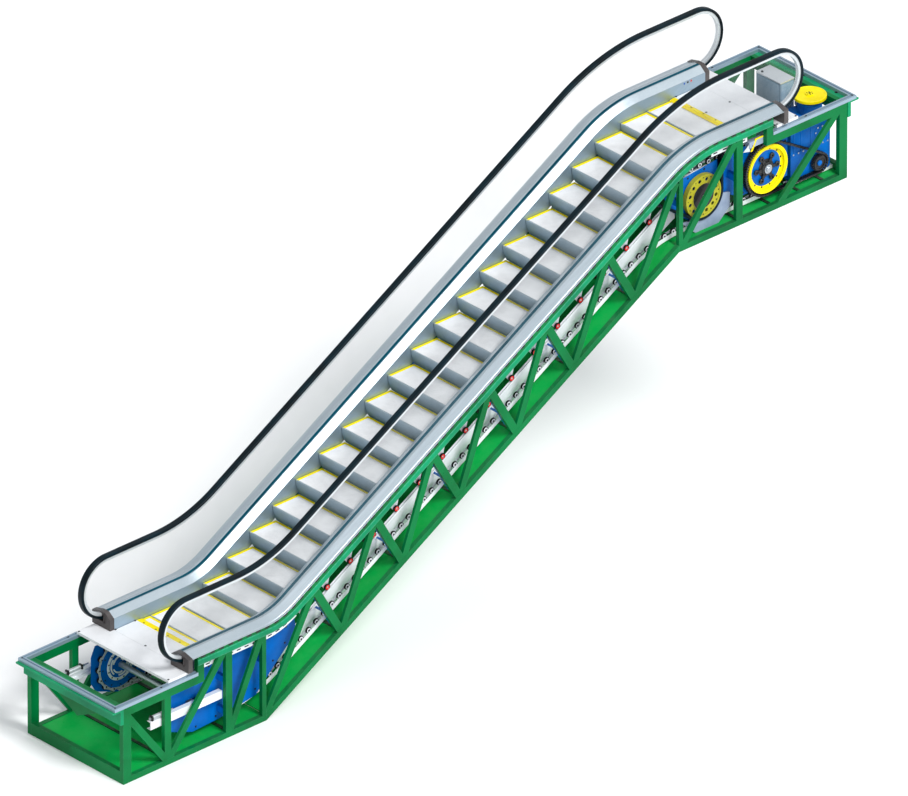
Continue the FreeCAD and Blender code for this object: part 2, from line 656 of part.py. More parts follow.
# ---- steps ----
def one_step():
    """A tread with a curved riser, two cheeks and its axles; the nose is at 0, 0."""
    outer = arc_about((STEP_PITCH, 0), STEP_PITCH, 180, 180 + RISER_DEG, -STEP_EDGE)
    inner_radius = STEP_PITCH - RISER_THICKNESS
    inner = arc_about((STEP_PITCH, 0), inner_radius, 180, 180 + RISER_DEG, -STEP_EDGE)
    foot_out = turned((STEP_PITCH, 0), STEP_PITCH, 180 + RISER_DEG)
    foot_in = turned((STEP_PITCH, 0), inner_radius, 180 + RISER_DEG)
    edges = [outer, line(foot_out, foot_in, -STEP_EDGE), inner, line((RISER_THICKNESS, 0), (0, 0), -STEP_EDGE)]
    riser = Part.Face(Part.Wire(Part.__sortEdges__(edges))).extrude(Vector(0, STEP_WIDTH, 0))
    tread = block(1, TREAD_DEPTH, -STEP_EDGE, STEP_EDGE, -TREAD_THICKNESS, 0)
    cheek_points = [
        (foot_in[0] - 4, foot_in[1]),
        (RISER_THICKNESS, -TREAD_THICKNESS + 1),
        (TREAD_DEPTH - 30, -TREAD_THICKNESS + 1),
        (ROLLER_BACK + 40, -ROLLER_DROP + 20),
        (ROLLER_BACK + 15, -ROLLER_DROP - 20),
        (ROLLER_BACK - 25, -ROLLER_DROP - 20),
    ]
    parts = [riser, tread]
    cheek_out = STEP_EDGE - 2
    for y in (-cheek_out, cheek_out - CHEEK_THICKNESS):
        parts.append(plate(cheek_points, y, y + CHEEK_THICKNESS))
    chain_face = STEP_EDGE + CHAIN_FACE - SEAT
    parts.append(disc(AXLE_BACK, -AXLE_DROP, AXLE_RADIUS, -chain_face, chain_face))
    roller_face = STEP_EDGE + ROLLER_FACE - SEAT
    parts.append(disc(ROLLER_BACK, -ROLLER_DROP, 10, -roller_face, -cheek_out + 2))
    parts.append(disc(ROLLER_BACK, -ROLLER_DROP, 10, cheek_out - 2, roller_face))
    return join(parts)


NOSE_LINE = shifted_line(0.0, 0.0)
STEP_PHASE = 198.0           # first nose on the slope, past the lower curve


def step_places():
    """Noses from under the lower comb plate to under the upper one."""
    first = X0 + LOWER_COMB_PLATE[0] + COMB_PLATE_HEEL + 14
    last = X1 - UPPER_COMB_PLATE[0] - COMB_PLATE_HEEL - TREAD_DEPTH - 14
    length = NOSE_LINE.low_curve * SLOPE + STEP_PHASE - 40 * STEP_PITCH
    places = []
    while True:
        nose = NOSE_LINE.at_length(length)
        if nose[0] > last:
            break
        if nose[0] > first:
            places.append(nose)
        length = length + STEP_PITCH
    return places


def steps():
    model = one_step()
    return group([model.translated(at(x, z)) for x, z in step_places()])


def step_rollers():
    inner = STEP_EDGE + ROLLER_FACE
    wheels = []
    for x, z in step_places():
        for y in (-inner - ROLLER_WIDTH, inner):
            wheels.append(disc(x + ROLLER_BACK, z - ROLLER_DROP, ROLLER_RADIUS, y, y + ROLLER_WIDTH))
    return group(wheels)


# ---- step chain and its tracks ----
CHAIN_LINE = shifted_line(AXLE_BACK, -AXLE_DROP)
ROLLER_LINE = shifted_line(ROLLER_BACK, -ROLLER_DROP)
RETURN_LINE = StepLine(RETURN_LOWER, RETURN_SLOPE / COS, LOW_CURVE, HIGH_CURVE, RETURN_UPPER)


def chain_loop(offset, y):
    """The closed path of a step chain, offset outwards from its pitch line."""
    top = below_line(CHAIN_LINE, -offset)
    bottom = below_line(RETURN_LINE, offset)
    edges = top.edges(TURN_X, MAIN_X, y)
    edges.extend(bottom.edges(TURN_X, MAIN_X, y))
    edges.append(arc_about((TURN_X, TURN_Z), TURN_RADIUS + offset, 90, 270, y))
    edges.append(arc_about((MAIN_X, MAIN_Z), MAIN_RADIUS + offset, -90, 90, y))
    return Part.Face(Part.Wire(Part.__sortEdges__(edges)))


def step_chain():
    y = -STEP_EDGE - CHAIN_FACE - CHAIN_WIDTH
    outer = chain_loop(CHAIN_HEIGHT / 2, y)
    inner = chain_loop(-CHAIN_HEIGHT / 2, y)
    return outer.cut(inner).extrude(Vector(0, CHAIN_WIDTH, 0))


TRACK_START = TURN_X
TRACK_END = MAIN_X


def track(base, face, outer_face, lip):
    """A rail square under a line of rollers, with a lip along its outer edge."""
    top = below_line(base, ROLLER_RADIUS + SEAT)
    bottom = below_line(base, ROLLER_RADIUS + SEAT + TRACK_THICKNESS)
    outer = -STEP_EDGE - outer_face
    rail = band(bottom, top, TRACK_START, TRACK_END, outer, -STEP_EDGE - face)
    lip_top = below_line(base, ROLLER_RADIUS + SEAT - lip)
    edge = band(bottom, lip_top, TRACK_START, TRACK_END, outer, outer + TRACK_LIP_THICKNESS)
    return join([rail, edge])


def guard_plate():
    """A sheet on the inner edge of the roller track, over the returning chain."""
    y0 = -STEP_EDGE - ROLLER_TRACK[0] + SEAT
    y1 = y0 + GUARD_THICKNESS
    bottom = square_line(GUARD_SPAN[0])
    low_x = bottom.points()[0][0] - 10
    high_x = bottom.points()[5][0] + 10
    sheet = band(bottom, square_line(GUARD_SPAN[1]), low_x, high_x, y0, y1)
    end = KNEE_HIGH + GUARD_END
    return sheet.common(block(low_x, end, y0 - 1, y1 + 1, BASE_LOW, FLOOR_HIGH))


def step_tracks():
    """Rails for the chain, for the rollers of the steps and for the returning chain."""
    chain_face = CHAIN_FACE + CHAIN_WIDTH + TRACK_CHAIN_GAP
    rails = [track(CHAIN_LINE, chain_face, TRACK_FACE, TRACK_LIPS[0])]
    rails.append(track(ROLLER_LINE, ROLLER_TRACK[0], ROLLER_TRACK[1], TRACK_LIPS[1]))
    rails.append(track(RETURN_LINE, chain_face, TRACK_FACE, TRACK_LIPS[2]))
    rails.append(guard_plate())
    return group(rails)


def track_brackets():
    """Cross plates from the posts on the slope, with an arm under the roller track."""
    y0 = -SIDE + 2 + POST_DEPTH + SEAT
    y1 = -STEP_EDGE - TRACK_FACE - SEAT
    arm_end = -STEP_EDGE - ROLLER_TRACK[0]
    arm_top = -(ROLLER_DROP + TAN * ROLLER_BACK) * COS - ROLLER_RADIUS - TRACK_THICKNESS - 2 * SEAT
    plates = []
    for distance in INCLINE_NODES:
        foot, head = incline_post_ends(distance)
        line_height = FLOOR_LOW + TAN * (foot[0] - WORK_LOW)
        drop = (line_height - foot[1]) * COS
        high = drop + BRACKET_SPAN[0]
        low = drop + BRACKET_SPAN[1]
        start = (foot[0] - low * SIN, foot[1] + low * COS)
        end = (foot[0] - high * SIN, foot[1] + high * COS)
        web = bar(start, end, BRACKET_THICKNESS, y0, y1)
        arm_high = drop + arm_top
        arm_low = arm_high - BRACKET_ARM
        arm_start = (foot[0] - arm_low * SIN, foot[1] + arm_low * COS)
        arm_finish = (foot[0] - arm_high * SIN, foot[1] + arm_high * COS)
        plates.append(join([web, bar(arm_start, arm_finish, BRACKET_THICKNESS, y0, arm_end)]))
    return group(plates)


# ---- balustrade ----
def skirt():
    inner = STEP_EDGE + SKIRT_GAP
    x0 = X0 + LOWER_CAP + CAP_THICKNESS
    x1 = X1 - UPPER_CAP - CAP_THICKNESS
    low_end = X0 + LOWER_COMB_PLATE[0] + LANDING_BEAM_WIDTH - 20 + PLATE_JOINT
    high_end = X1 - UPPER_COMB_PLATE[0] - LANDING_BEAM_WIDTH + 20 - PLATE_JOINT
    y = -inner - SKIRT_THICKNESS - 1
    notches = [block(x0 - 1, low_end, y, -inner + 1, FLOOR_LOW - SKIRT_BELOW - 1, FLOOR_LOW + SEAT)]
    notches.append(block(high_end, x1 + 1, y, -inner + 1, FLOOR_HIGH - SKIRT_BELOW - 1, FLOOR_HIGH + SEAT))
    top = below_line(TOP_CHORD_TOP, -SKIRT_TOP)
    sheet = band(square_line(-SKIRT_BELOW), top, x0, x1, -inner - SKIRT_THICKNESS, -inner)
    return cut(sheet, notches)


def deck_profile():
    """The inner slope, the flat top and the outer slope of one deck, as a bent sheet."""
    skirt_back = STEP_EDGE + SKIRT_GAP + SKIRT_THICKNESS + SEAT
    start = STEP_EDGE + DECK_FLAT[0]
    end = STEP_EDGE + DECK_FLAT[1]
    outer = SIDE + DECK_SHEET
    flange = outer - DECK_FLANGE
    t = DECK_SHEET
    return [
        (skirt_back, SKIRT_TOP - 30),
        (skirt_back, SKIRT_TOP),
        (start, DECK_TOP),
        (end, DECK_TOP),
        (flange - 4, SEAT + t + 4),
        (flange, SEAT + t),
        (outer, SEAT + t),
        (outer, SEAT),
        (flange - 2, SEAT),
        (flange - 6, SEAT + 4),
        (end - 1, DECK_TOP - t),
        (start + 2, DECK_TOP - t),
        (skirt_back + t, SKIRT_TOP - 1),
        (skirt_back + t, SKIRT_TOP - 30),
    ]


def deck():
    x0 = X0 + LOWER_CAP + CAP_THICKNESS
    x1 = X1 - UPPER_CAP - CAP_THICKNESS
    return follow(near_side(deck_profile()), x0, x1, TOP_CHORD_TOP)


def deck_strip():
    x0 = X0 + LOWER_CAP + CAP_THICKNESS
    x1 = X1 - UPPER_CAP - CAP_THICKNESS
    low = DECK_TOP + SEAT
    start = STEP_EDGE + STRIP_START
    end = start + STRIP_WIDTH
    top = low + STRIP_THICKNESS
    profile = [(start, low), (end, low), (end, top), (start, top)]
    return follow(near_side(profile), x0, x1, TOP_CHORD_TOP)


NEWEL_LOW = (X0 + LOWER_NEWEL, FLOOR_LOW + HANDRAIL_LEVEL - NEWEL_RADIUS)
NEWEL_HIGH = (X1 - UPPER_NEWEL, FLOOR_HIGH + HANDRAIL_LEVEL - NEWEL_RADIUS)


def handrail_line(inset):
    """The top run of the handrail, moved in towards the glass."""
    level = HANDRAIL_LEVEL - inset
    lift = HANDRAIL_LIFT - inset / COS
    return StepLine(level, lift, HANDRAIL_LOW_CURVE + inset, HANDRAIL_HIGH_CURVE - inset)


def newel_outline(inset, y):
    """From the lower cap round both newels to the upper cap."""
    radius = NEWEL_RADIUS - inset
    low_face = X0 + LOWER_CAP - SEAT
    high_face = X1 - UPPER_CAP + SEAT
    low_deg = 270 - math.degrees(math.asin((NEWEL_LOW[0] - low_face) / radius))
    high_deg = -90 + math.degrees(math.asin((high_face - NEWEL_HIGH[0]) / radius))
    edges = [arc_about(NEWEL_LOW, radius, low_deg, 90, y)]
    edges.extend(handrail_line(inset).edges(NEWEL_LOW[0], NEWEL_HIGH[0], y))
    edges.append(arc_about(NEWEL_HIGH, radius, 90, high_deg, y))
    return edges, turned(NEWEL_LOW, radius, low_deg), turned(NEWEL_HIGH, radius, high_deg)


def glass():
    inset = HANDRAIL_THICKNESS / 2 + GUIDE_DEPTH + 2 * SEAT
    y = -HANDRAIL_Y - GLASS_THICKNESS / 2
    edges, low_point, high_point = newel_outline(inset, y)
    base = below_line(TOP_CHORD_TOP, -DECK_TOP - SEAT)
    low_x = low_point[0]
    high_x = high_point[0]
    edges.append(line(low_point, (low_x, base.low_z), y))
    edges.extend(base.edges(low_x, high_x, y))
    edges.append(line((high_x, base.high_z), high_point, y))
    wire = Part.Wire(Part.__sortEdges__(edges))
    return Part.Face(wire).extrude(Vector(0, GLASS_THICKNESS, 0))


def handrail_guide():
    y = -HANDRAIL_Y - GUIDE_WIDTH / 2
    outset = HANDRAIL_THICKNESS / 2 + SEAT
    outer, low_out, high_out = newel_outline(outset, y)
    inner, low_in, high_in = newel_outline(outset + GUIDE_DEPTH, y)
    edges = outer + inner + [line(low_out, low_in, y), line(high_out, high_in, y)]
    wire = Part.Wire(Part.__sortEdges__(edges))
    return Part.Face(wire).extrude(Vector(0, GUIDE_WIDTH, 0))


HANDRAIL_WHEEL = (X1 - HANDRAIL_WHEEL_FROM_END, BASE_HIGH + HANDRAIL_WHEEL_HEIGHT)


def handrail_face(offset, y):
    """The closed path of the handrail, offset outwards from its centre line.

    Under the upper landing the returning run drops round its drive wheel.
    """
    radius = NEWEL_RADIUS + offset
    edges = handrail_line(-offset).edges(NEWEL_LOW[0], NEWEL_HIGH[0], y)
    edges.append(arc_about(NEWEL_LOW, radius, 90, 270, y))
    edges.append(arc_about(NEWEL_HIGH, radius, 90, -90, y))
    back = StepLine(
        RETURN_HEIGHT - offset, (RETURN_RISE - offset) / COS,
        LOW_CURVE - RETURN_HEIGHT + offset, HIGH_CURVE)
    low_start, low_middle, low_end, high_start, high_middle, high_end = back.points()
    edges.append(line((NEWEL_LOW[0], back.low_z), low_start, y))
    edges.append(arc(low_start, low_middle, low_end, y))
    wrap = HANDRAIL_WRAP_RADIUS + offset
    leave = -90 - HANDRAIL_LEAVE_DEG
    leave_point = turned(HANDRAIL_WHEEL, wrap, leave)
    away = (-math.cos(math.radians(HANDRAIL_LEAVE_DEG)), math.sin(math.radians(HANDRAIL_LEAVE_DEG)))
    gap = leave_point[1] - (back.low_z + TAN * (leave_point[0] - back.low_x))
    reach = -gap / (away[1] - TAN * away[0])
    corner = (leave_point[0] + away[0] * reach, leave_point[1] + away[1] * reach)
    turn = math.radians(HANDRAIL_LEAVE_DEG) + SLOPE
    bend = HANDRAIL_BEND - offset
    tangent = bend * math.tan(turn / 2)
    slope_end = (corner[0] - tangent * COS, corner[1] - tangent * SIN)
    strand_start = (corner[0] - away[0] * tangent, corner[1] - away[1] * tangent)
    centre = (slope_end[0] + bend * SIN, slope_end[1] - bend * COS)
    start_deg = 90 + SLOPE_DEG
    edges.append(line(low_end, slope_end, y))
    edges.append(arc_about(centre, bend, start_deg, 90 - HANDRAIL_LEAVE_DEG, y))
    edges.append(line(strand_start, leave_point, y))
    edges.append(arc_about(HANDRAIL_WHEEL, wrap, leave, 0, y))
    drop = HANDRAIL_DROP_BEND - offset
    drop_x = HANDRAIL_WHEEL[0] + wrap
    edges.append(line((drop_x, HANDRAIL_WHEEL[1]), (drop_x, back.high_z - drop), y))
    edges.append(arc_about((drop_x + drop, back.high_z - drop), drop, 180, 90, y))
    edges.append(line((drop_x + drop, back.high_z), (NEWEL_HIGH[0], back.high_z), y))
    return Part.Face(Part.Wire(Part.__sortEdges__(edges)))


def handrail():
    half = HANDRAIL_THICKNESS / 2
    y = -HANDRAIL_Y - HANDRAIL_WIDTH / 2
    outer = handrail_face(half, y)
    inner = handrail_face(-half, y)
    return outer.cut(inner).extrude(Vector(0, HANDRAIL_WIDTH, 0))


def newel_cap(x0, x1, floor):
    """A box over the end of the deck, with a slot that the handrail enters by."""
    inner = STEP_EDGE + SKIRT_GAP
    outer = SIDE + DECK_SHEET
    deck_top = TOP_CHORD_LEVEL[1] + DECK_TOP
    points = [
        (-outer, SEAT),
        (-inner, SEAT),
        (-inner, TOP_CHORD_LEVEL[1] + SKIRT_TOP),
        (-STEP_EDGE - DECK_FLAT[0], deck_top),
        (-STEP_EDGE - DECK_FLAT[1], deck_top),
        (-outer, TOP_CHORD_LEVEL[1] + 12),
    ]
    corners = [Vector(x0, y, floor + h) for y, h in points]
    body = Part.Face(Part.makePolygon(corners + corners[:1])).extrude(Vector(x1 - x0, 0, 0))
    half = HANDRAIL_WIDTH / 2 + 16
    low = RETURN_HEIGHT - HANDRAIL_THICKNESS / 2 - 14
    opening = block(x0 - 1, x1 + 1, -HANDRAIL_Y - half, -HANDRAIL_Y + half, floor + low, floor + low + 70)
    return body.cut(opening)


def newel_caps():
    low = newel_cap(X0 + LOWER_CAP, X0 + LOWER_CAP + CAP_THICKNESS - 1, FLOOR_LOW)
    high = newel_cap(X1 - UPPER_CAP - CAP_THICKNESS + 1, X1 - UPPER_CAP, FLOOR_HIGH)
    return group([low, high, other_side(low), other_side(high)])


# ---- lower landing machinery ----
def panel_y(thickness):
    outer = -STEP_EDGE - TRACK_FACE - SEAT
    return outer - thickness, outer


def lower_track_panel():
    """The panel that carries the tracks beside the lower curve."""
    points = [
        (X0 + 800, TURN_Z + 190), (X0 + 800, TURN_Z - 150), (X0 + 870, TURN_Z - 270),
        (X0 + 1200, BASE_LOW + 150), (X0 + 1610, BASE_LOW + 170), (X0 + 2160, BASE_LOW + 260),
        (X0 + 2430, BASE_LOW + 520), (X0 + 2774, BASE_LOW + 830), (X0 + 2744, BASE_LOW + 1040),
        (X0 + 2279, BASE_LOW + 943), (X0 + 1490, BASE_LOW + 921), (X0 + 860, BASE_LOW + 860),
    ]
    y0, y1 = panel_y(PANEL_THICKNESS)
    slot = block(TURN_X - 90, TURN_X + 90, y0 - 1, y1 + 1, TURN_Z - 44, TURN_Z + 44)
    return plate(points, y0, y1).cut(slot)


def panel_bracket(x0, x1, z0, z1, thickness):
    """A block from the side of the truss to a track panel."""
    y0, y1 = panel_y(thickness)
    return block(x0, x1, -SIDE + CHORD_WIDTH - 6 + SEAT, y0 - SEAT, z0, z1)


def panel_brackets():
    spots = [(X0 + LOWER_NODES[1] - 40, BASE_LOW + 690, PANEL_THICKNESS)]
    spots.append((X0 + LOWER_NODES[1] - 40, BASE_LOW + 280, PANEL_THICKNESS))
    spots.append((KNEE_LOW - 50, BASE_LOW + 740, PANEL_THICKNESS))
    spots.append((KNEE_HIGH + UPPER_NODE_FROM_KNEE - 40, BASE_HIGH + 560, UPPER_PANEL_THICKNESS))
    spots.append((KNEE_HIGH + 10, BASE_HIGH + 560, UPPER_PANEL_THICKNESS))
    return group([panel_bracket(x, x + 50, z, z + 80, t) for x, z, t in spots])


def turnaround():
    """The fixed guide that the lower end of a step chain slides round."""
    y = -STEP_EDGE - CHAIN_FACE - CHAIN_WIDTH
    radius = TURN_RADIUS - CHAIN_HEIGHT / 2 - SEAT
    ring = disc(TURN_X, TURN_Z, radius, y, y + CHAIN_WIDTH)
    window = disc(TURN_X, TURN_Z, radius - 95, y - 1, y + CHAIN_WIDTH + 1)
    web = disc(TURN_X, TURN_Z, radius - 60, y + 2, y + 8)
    hub = disc(TURN_X, TURN_Z, TURN_SHAFT_RADIUS + 40, y - 10, y + CHAIN_WIDTH + 10)
    bore = disc(TURN_X, TURN_Z, TURN_SHAFT_RADIUS + SEAT, y - 11, y + CHAIN_WIDTH + 11)
    return join([ring.cut(window), web, hub]).cut(bore)


CARRIAGE_Y = -SIDE + CHORD_WIDTH + 6


def turnaround_shaft():
    reach = -CARRIAGE_Y - CARRIAGE_SHEET - 4
    return disc(TURN_X, TURN_Z, TURN_SHAFT_RADIUS, -reach, reach)


def tension_carriage():
    """A channel on the side of the truss, with the sliding block of the shaft."""
    y0 = CARRIAGE_Y
    y1 = CARRIAGE_Y + CARRIAGE_DEPTH
    half = CARRIAGE_HALF
    inner = half - CARRIAGE_SHEET
    channel = block(X0 + CARRIAGE[0], X0 + CARRIAGE[1], y0, y1, TURN_Z - half, TURN_Z + half)
    hollow = block(
        X0 + CARRIAGE[0] - 1, X0 + CARRIAGE[1] + 1, y0 + CARRIAGE_SHEET, y1 + 1, TURN_Z - inner, TURN_Z + inner)
    slide = block(TURN_X - 70, TURN_X + 70, y0 + CARRIAGE_SHEET + 1, y1 - 4, TURN_Z - inner + SEAT, TURN_Z + inner - SEAT)
    bore = disc(TURN_X, TURN_Z, TURN_SHAFT_RADIUS + SEAT, y0, y1)
    return group([channel.cut(hollow), slide.cut(bore)])


def tension_spring():
    """A threaded rod on top of the channel, with its spring and two end blocks."""
    z = TURN_Z + CARRIAGE_HALF + SPRING_RADIUS + 4
    y = CARRIAGE_Y + CARRIAGE_DEPTH / 2
    start = X0 + CARRIAGE[0] + 10
    rod = Part.makeCylinder(SPRING_ROD_RADIUS, SPRING_LENGTH + 160, Vector(start, y, z), Vector(1, 0, 0))
    spring = Part.makeCylinder(SPRING_RADIUS, SPRING_LENGTH, Vector(start + 40, y, z), Vector(1, 0, 0))
    blocks = []
    for x in (start + 20, start + 40 + SPRING_LENGTH):
        blocks.append(block(x, x + 20, y - 28, y + 28, TURN_Z + CARRIAGE_HALF + SEAT, z + 28))
    return join([rod, spring] + blocks)


# ---- driving machine ----
def upper_track_panel():
    """The panel behind the handrail wheel, which holds both cross shafts."""
    points = [
        (X1 - 2664, BASE_HIGH + 646), (X1 - 2361, BASE_HIGH + 800), (X1 - 1754, BASE_HIGH + 860),
        (X1 - 764, BASE_HIGH + 860), (X1 - 764, BASE_HIGH + 240), (X1 - 1501, BASE_HIGH + 240),
        (X1 - 1678, BASE_HIGH + 340), (X1 - 1960, BASE_HIGH + 200), (X1 - 2260, BASE_HIGH + 200),
        (X1 - 2562, BASE_HIGH + 440),
    ]
    y0, y1 = panel_y(UPPER_PANEL_THICKNESS)
    holes = [disc(MAIN_X, MAIN_Z, SHAFT_RADIUS + SEAT, y0 - 1, y1 + 1)]
    holes.append(disc(HANDRAIL_WHEEL[0], HANDRAIL_WHEEL[1], HANDRAIL_SHAFT_RADIUS + SEAT, y0 - 1, y1 + 1))
    return cut(plate(points, y0, y1), holes)


def main_shaft():
    reach = SIDE - CHORD_WIDTH - 20
    return disc(MAIN_X, MAIN_Z, SHAFT_RADIUS, -reach, reach)


def chain_sprocket():
    y = -STEP_EDGE - CHAIN_FACE - CHAIN_WIDTH
    radius = MAIN_RADIUS - CHAIN_HEIGHT / 2 - RUNNING_GAP
    wheel = disc(MAIN_X, MAIN_Z, radius, y, y + CHAIN_WIDTH)
    return wheel.cut(disc(MAIN_X, MAIN_Z, SHAFT_RADIUS, y - 1, y + CHAIN_WIDTH + 1))


DRIVE_Y0 = -STEP_EDGE - DRIVE_WHEEL_FACE - DRIVE_WHEEL_WIDTH
DRIVE_Y1 = -STEP_EDGE - DRIVE_WHEEL_FACE


def main_drive_wheel():
    rim = disc(MAIN_X, MAIN_Z, DRIVE_WHEEL_RADIUS, DRIVE_Y0, DRIVE_Y1)
    rim = rim.cut(disc(MAIN_X, MAIN_Z, DRIVE_WHEEL_RADIUS - 62, DRIVE_Y0 - 1, DRIVE_Y1 + 1))
    web = disc(MAIN_X, MAIN_Z, DRIVE_WHEEL_RADIUS - 61, DRIVE_Y1 - 24, DRIVE_Y1 - 10)
    hub = disc(MAIN_X, MAIN_Z, 110, DRIVE_Y0 + 6, DRIVE_Y1)
    bore = disc(MAIN_X, MAIN_Z, SHAFT_RADIUS, DRIVE_Y0 - 1, DRIVE_Y1 + 1)
    return join([rim, web, hub]).cut(bore)


PINION = (X1 - PINION_FROM_END, BASE_HIGH + PINION_HEIGHT)
MAIN = (MAIN_X, MAIN_Z)


def belt_face(offset, y):
    """The closed path of the drive chain round the wheel and the pinion."""
    big = DRIVE_WHEEL_RADIUS + RUNNING_GAP + offset
    small = PINION_RADIUS + RUNNING_GAP + offset
    dx = PINION[0] - MAIN[0]
    dz = PINION[1] - MAIN[1]
    lean = math.degrees(math.atan2(dz, dx))
    spread = math.degrees(math.acos((big - small) / math.hypot(dx, dz)))
    top = lean + spread
    low = lean - spread
    edges = [arc_about(MAIN, big, top, low + 360, y)]
    edges.append(arc_about(PINION, small, low, top, y))
    edges.append(line(turned(MAIN, big, top), turned(PINION, small, top), y))
    edges.append(line(turned(MAIN, big, low), turned(PINION, small, low), y))
    return Part.Face(Part.Wire(Part.__sortEdges__(edges)))


def drive_chain():
    width = DRIVE_WHEEL_WIDTH - 10
    y = DRIVE_Y0 + 5
    outer = belt_face(DRIVE_CHAIN_THICKNESS, y)
    inner = belt_face(0.0, y)
    return outer.cut(inner).extrude(Vector(0, width, 0))


GEARBOX_FACE = DRIVE_Y1 + 14


def pinion():
    wheel = disc(PINION[0], PINION[1], PINION_RADIUS, DRIVE_Y0 + 5, DRIVE_Y1 - 5)
    stub = disc(PINION[0], PINION[1], 32, DRIVE_Y0, GEARBOX_FACE - SEAT)
    return join([wheel, stub])


MOTOR = (X1 - 236, -STEP_EDGE + 75)
GEARBOX_TOP = BASE_HIGH + 800


def gearbox():
    base = BASE_HIGH + CHORD_DEPTH + 50
    body = block(X1 - 720, X1 - 110, GEARBOX_FACE, -STEP_EDGE + 270, base, GEARBOX_TOP)
    return body.makeFillet(30, [e for e in body.Edges if abs(e.tangentAt(e.FirstParameter).y) > 0.9])


def motor():
    body = post(MOTOR[0], MOTOR[1], 130, GEARBOX_TOP, GEARBOX_TOP + 130)
    neck = post(MOTOR[0], MOTOR[1], 70, GEARBOX_TOP + 129, GEARBOX_TOP + 180)
    return join([body, neck])


def flywheel():
    base = GEARBOX_TOP + 180 + SEAT
    wheel = post(MOTOR[0], MOTOR[1], 195, base, base + 30)
    return join([wheel, post(MOTOR[0], MOTOR[1], 50, base, base + 44)])


def machine_bed():
    low = BASE_HIGH + CHORD_DEPTH - PAN_DROP + RIB_HEIGHT
    top = BASE_HIGH + CHORD_DEPTH + 50
    rails = []
    for y in (GEARBOX_FACE + 10, -STEP_EDGE + 190):
        rails.append(block(X1 - 760, X1 - END_BEAM_WIDTH, y, y + 70, low, top))
    return group(rails)


def handrail_wheel():
    x, z = HANDRAIL_WHEEL
    radius = HANDRAIL_WRAP_RADIUS - HANDRAIL_THICKNESS / 2 - RUNNING_GAP
    y0 = -HANDRAIL_Y - HANDRAIL_WHEEL_WIDTH / 2
    y1 = -HANDRAIL_Y + HANDRAIL_WHEEL_WIDTH / 2
    rim = disc(x, z, radius, y0, y1).cut(disc(x, z, radius - 22, y0 - 1, y1 + 1))
    web = disc(x, z, radius - 21, y0 + 8, y0 + 18)
    holes = []
    for index in range(12):
        spot = turned((x, z), (radius - 22 + HUB_RADIUS) / 2, index * 30 + 15)
        holes.append(disc(spot[0], spot[1], 24, y0, y1))
    hub = disc(x, z, HUB_RADIUS, y0 + 2, y0 + 2 + HUB_THICKNESS)
    return join([rim, web.cut(Part.makeCompound(holes)), hub])


def handrail_shaft():
    x, z = HANDRAIL_WHEEL
    reach = HANDRAIL_Y + HANDRAIL_WHEEL_WIDTH / 2 - 2 - HUB_THICKNESS
    return disc(x, z, HANDRAIL_SHAFT_RADIUS, -reach, reach)


def handrail_shoe():
    """The curved shoe that guides the handrail under its wheel."""
    x, z = HANDRAIL_WHEEL
    base = BASE_HIGH + CHORD_DEPTH - PAN_DROP
    points = [
        (x - 308, z - 249), (x - 107, base), (x + 249, base), (x + 424, z - 292),
        (x + 424, z - 111), (x, z), (x - 180, z - 262),
    ]
    radius = HANDRAIL_WRAP_RADIUS + HANDRAIL_THICKNESS / 2 + RUNNING_GAP
    y = -HANDRAIL_Y - SHOE_THICKNESS / 2
    shoe = plate(points, y, y + SHOE_THICKNESS)
    return shoe.cut(disc(x, z, radius, y - 1, y + SHOE_THICKNESS + 1))


def brake_unit():
    """The box and its yellow arm above the drive wheel."""
    y = -SIDE + CHORD_WIDTH - 6 + SEAT
    z = FLOOR_HIGH - 165
    body = block(X1 - 1460, X1 - 1180, y + 6, y + 74, z, z + 75)
    return body


def controller_cabinet():
    base = BASE_HIGH + CHORD_DEPTH - PAN_DROP + RIB_HEIGHT
    return block(X1 - 449, X1 - 239, -169, 231, base, FLOOR_HIGH + 70)


def control_buttons():
    """A stop button and two switches on the inner panel at the upper landing."""
    face = STEP_EDGE + SKIRT_GAP - SEAT
    buttons = []
    for index in range(3):
        x = X1 - BUTTON_FROM_END + index * BUTTON_PITCH
        buttons.append(disc(x, FLOOR_HIGH + BUTTON_HEIGHT, BUTTON_RADIUS, face - BUTTON_PROUD, face))
    return group(buttons)


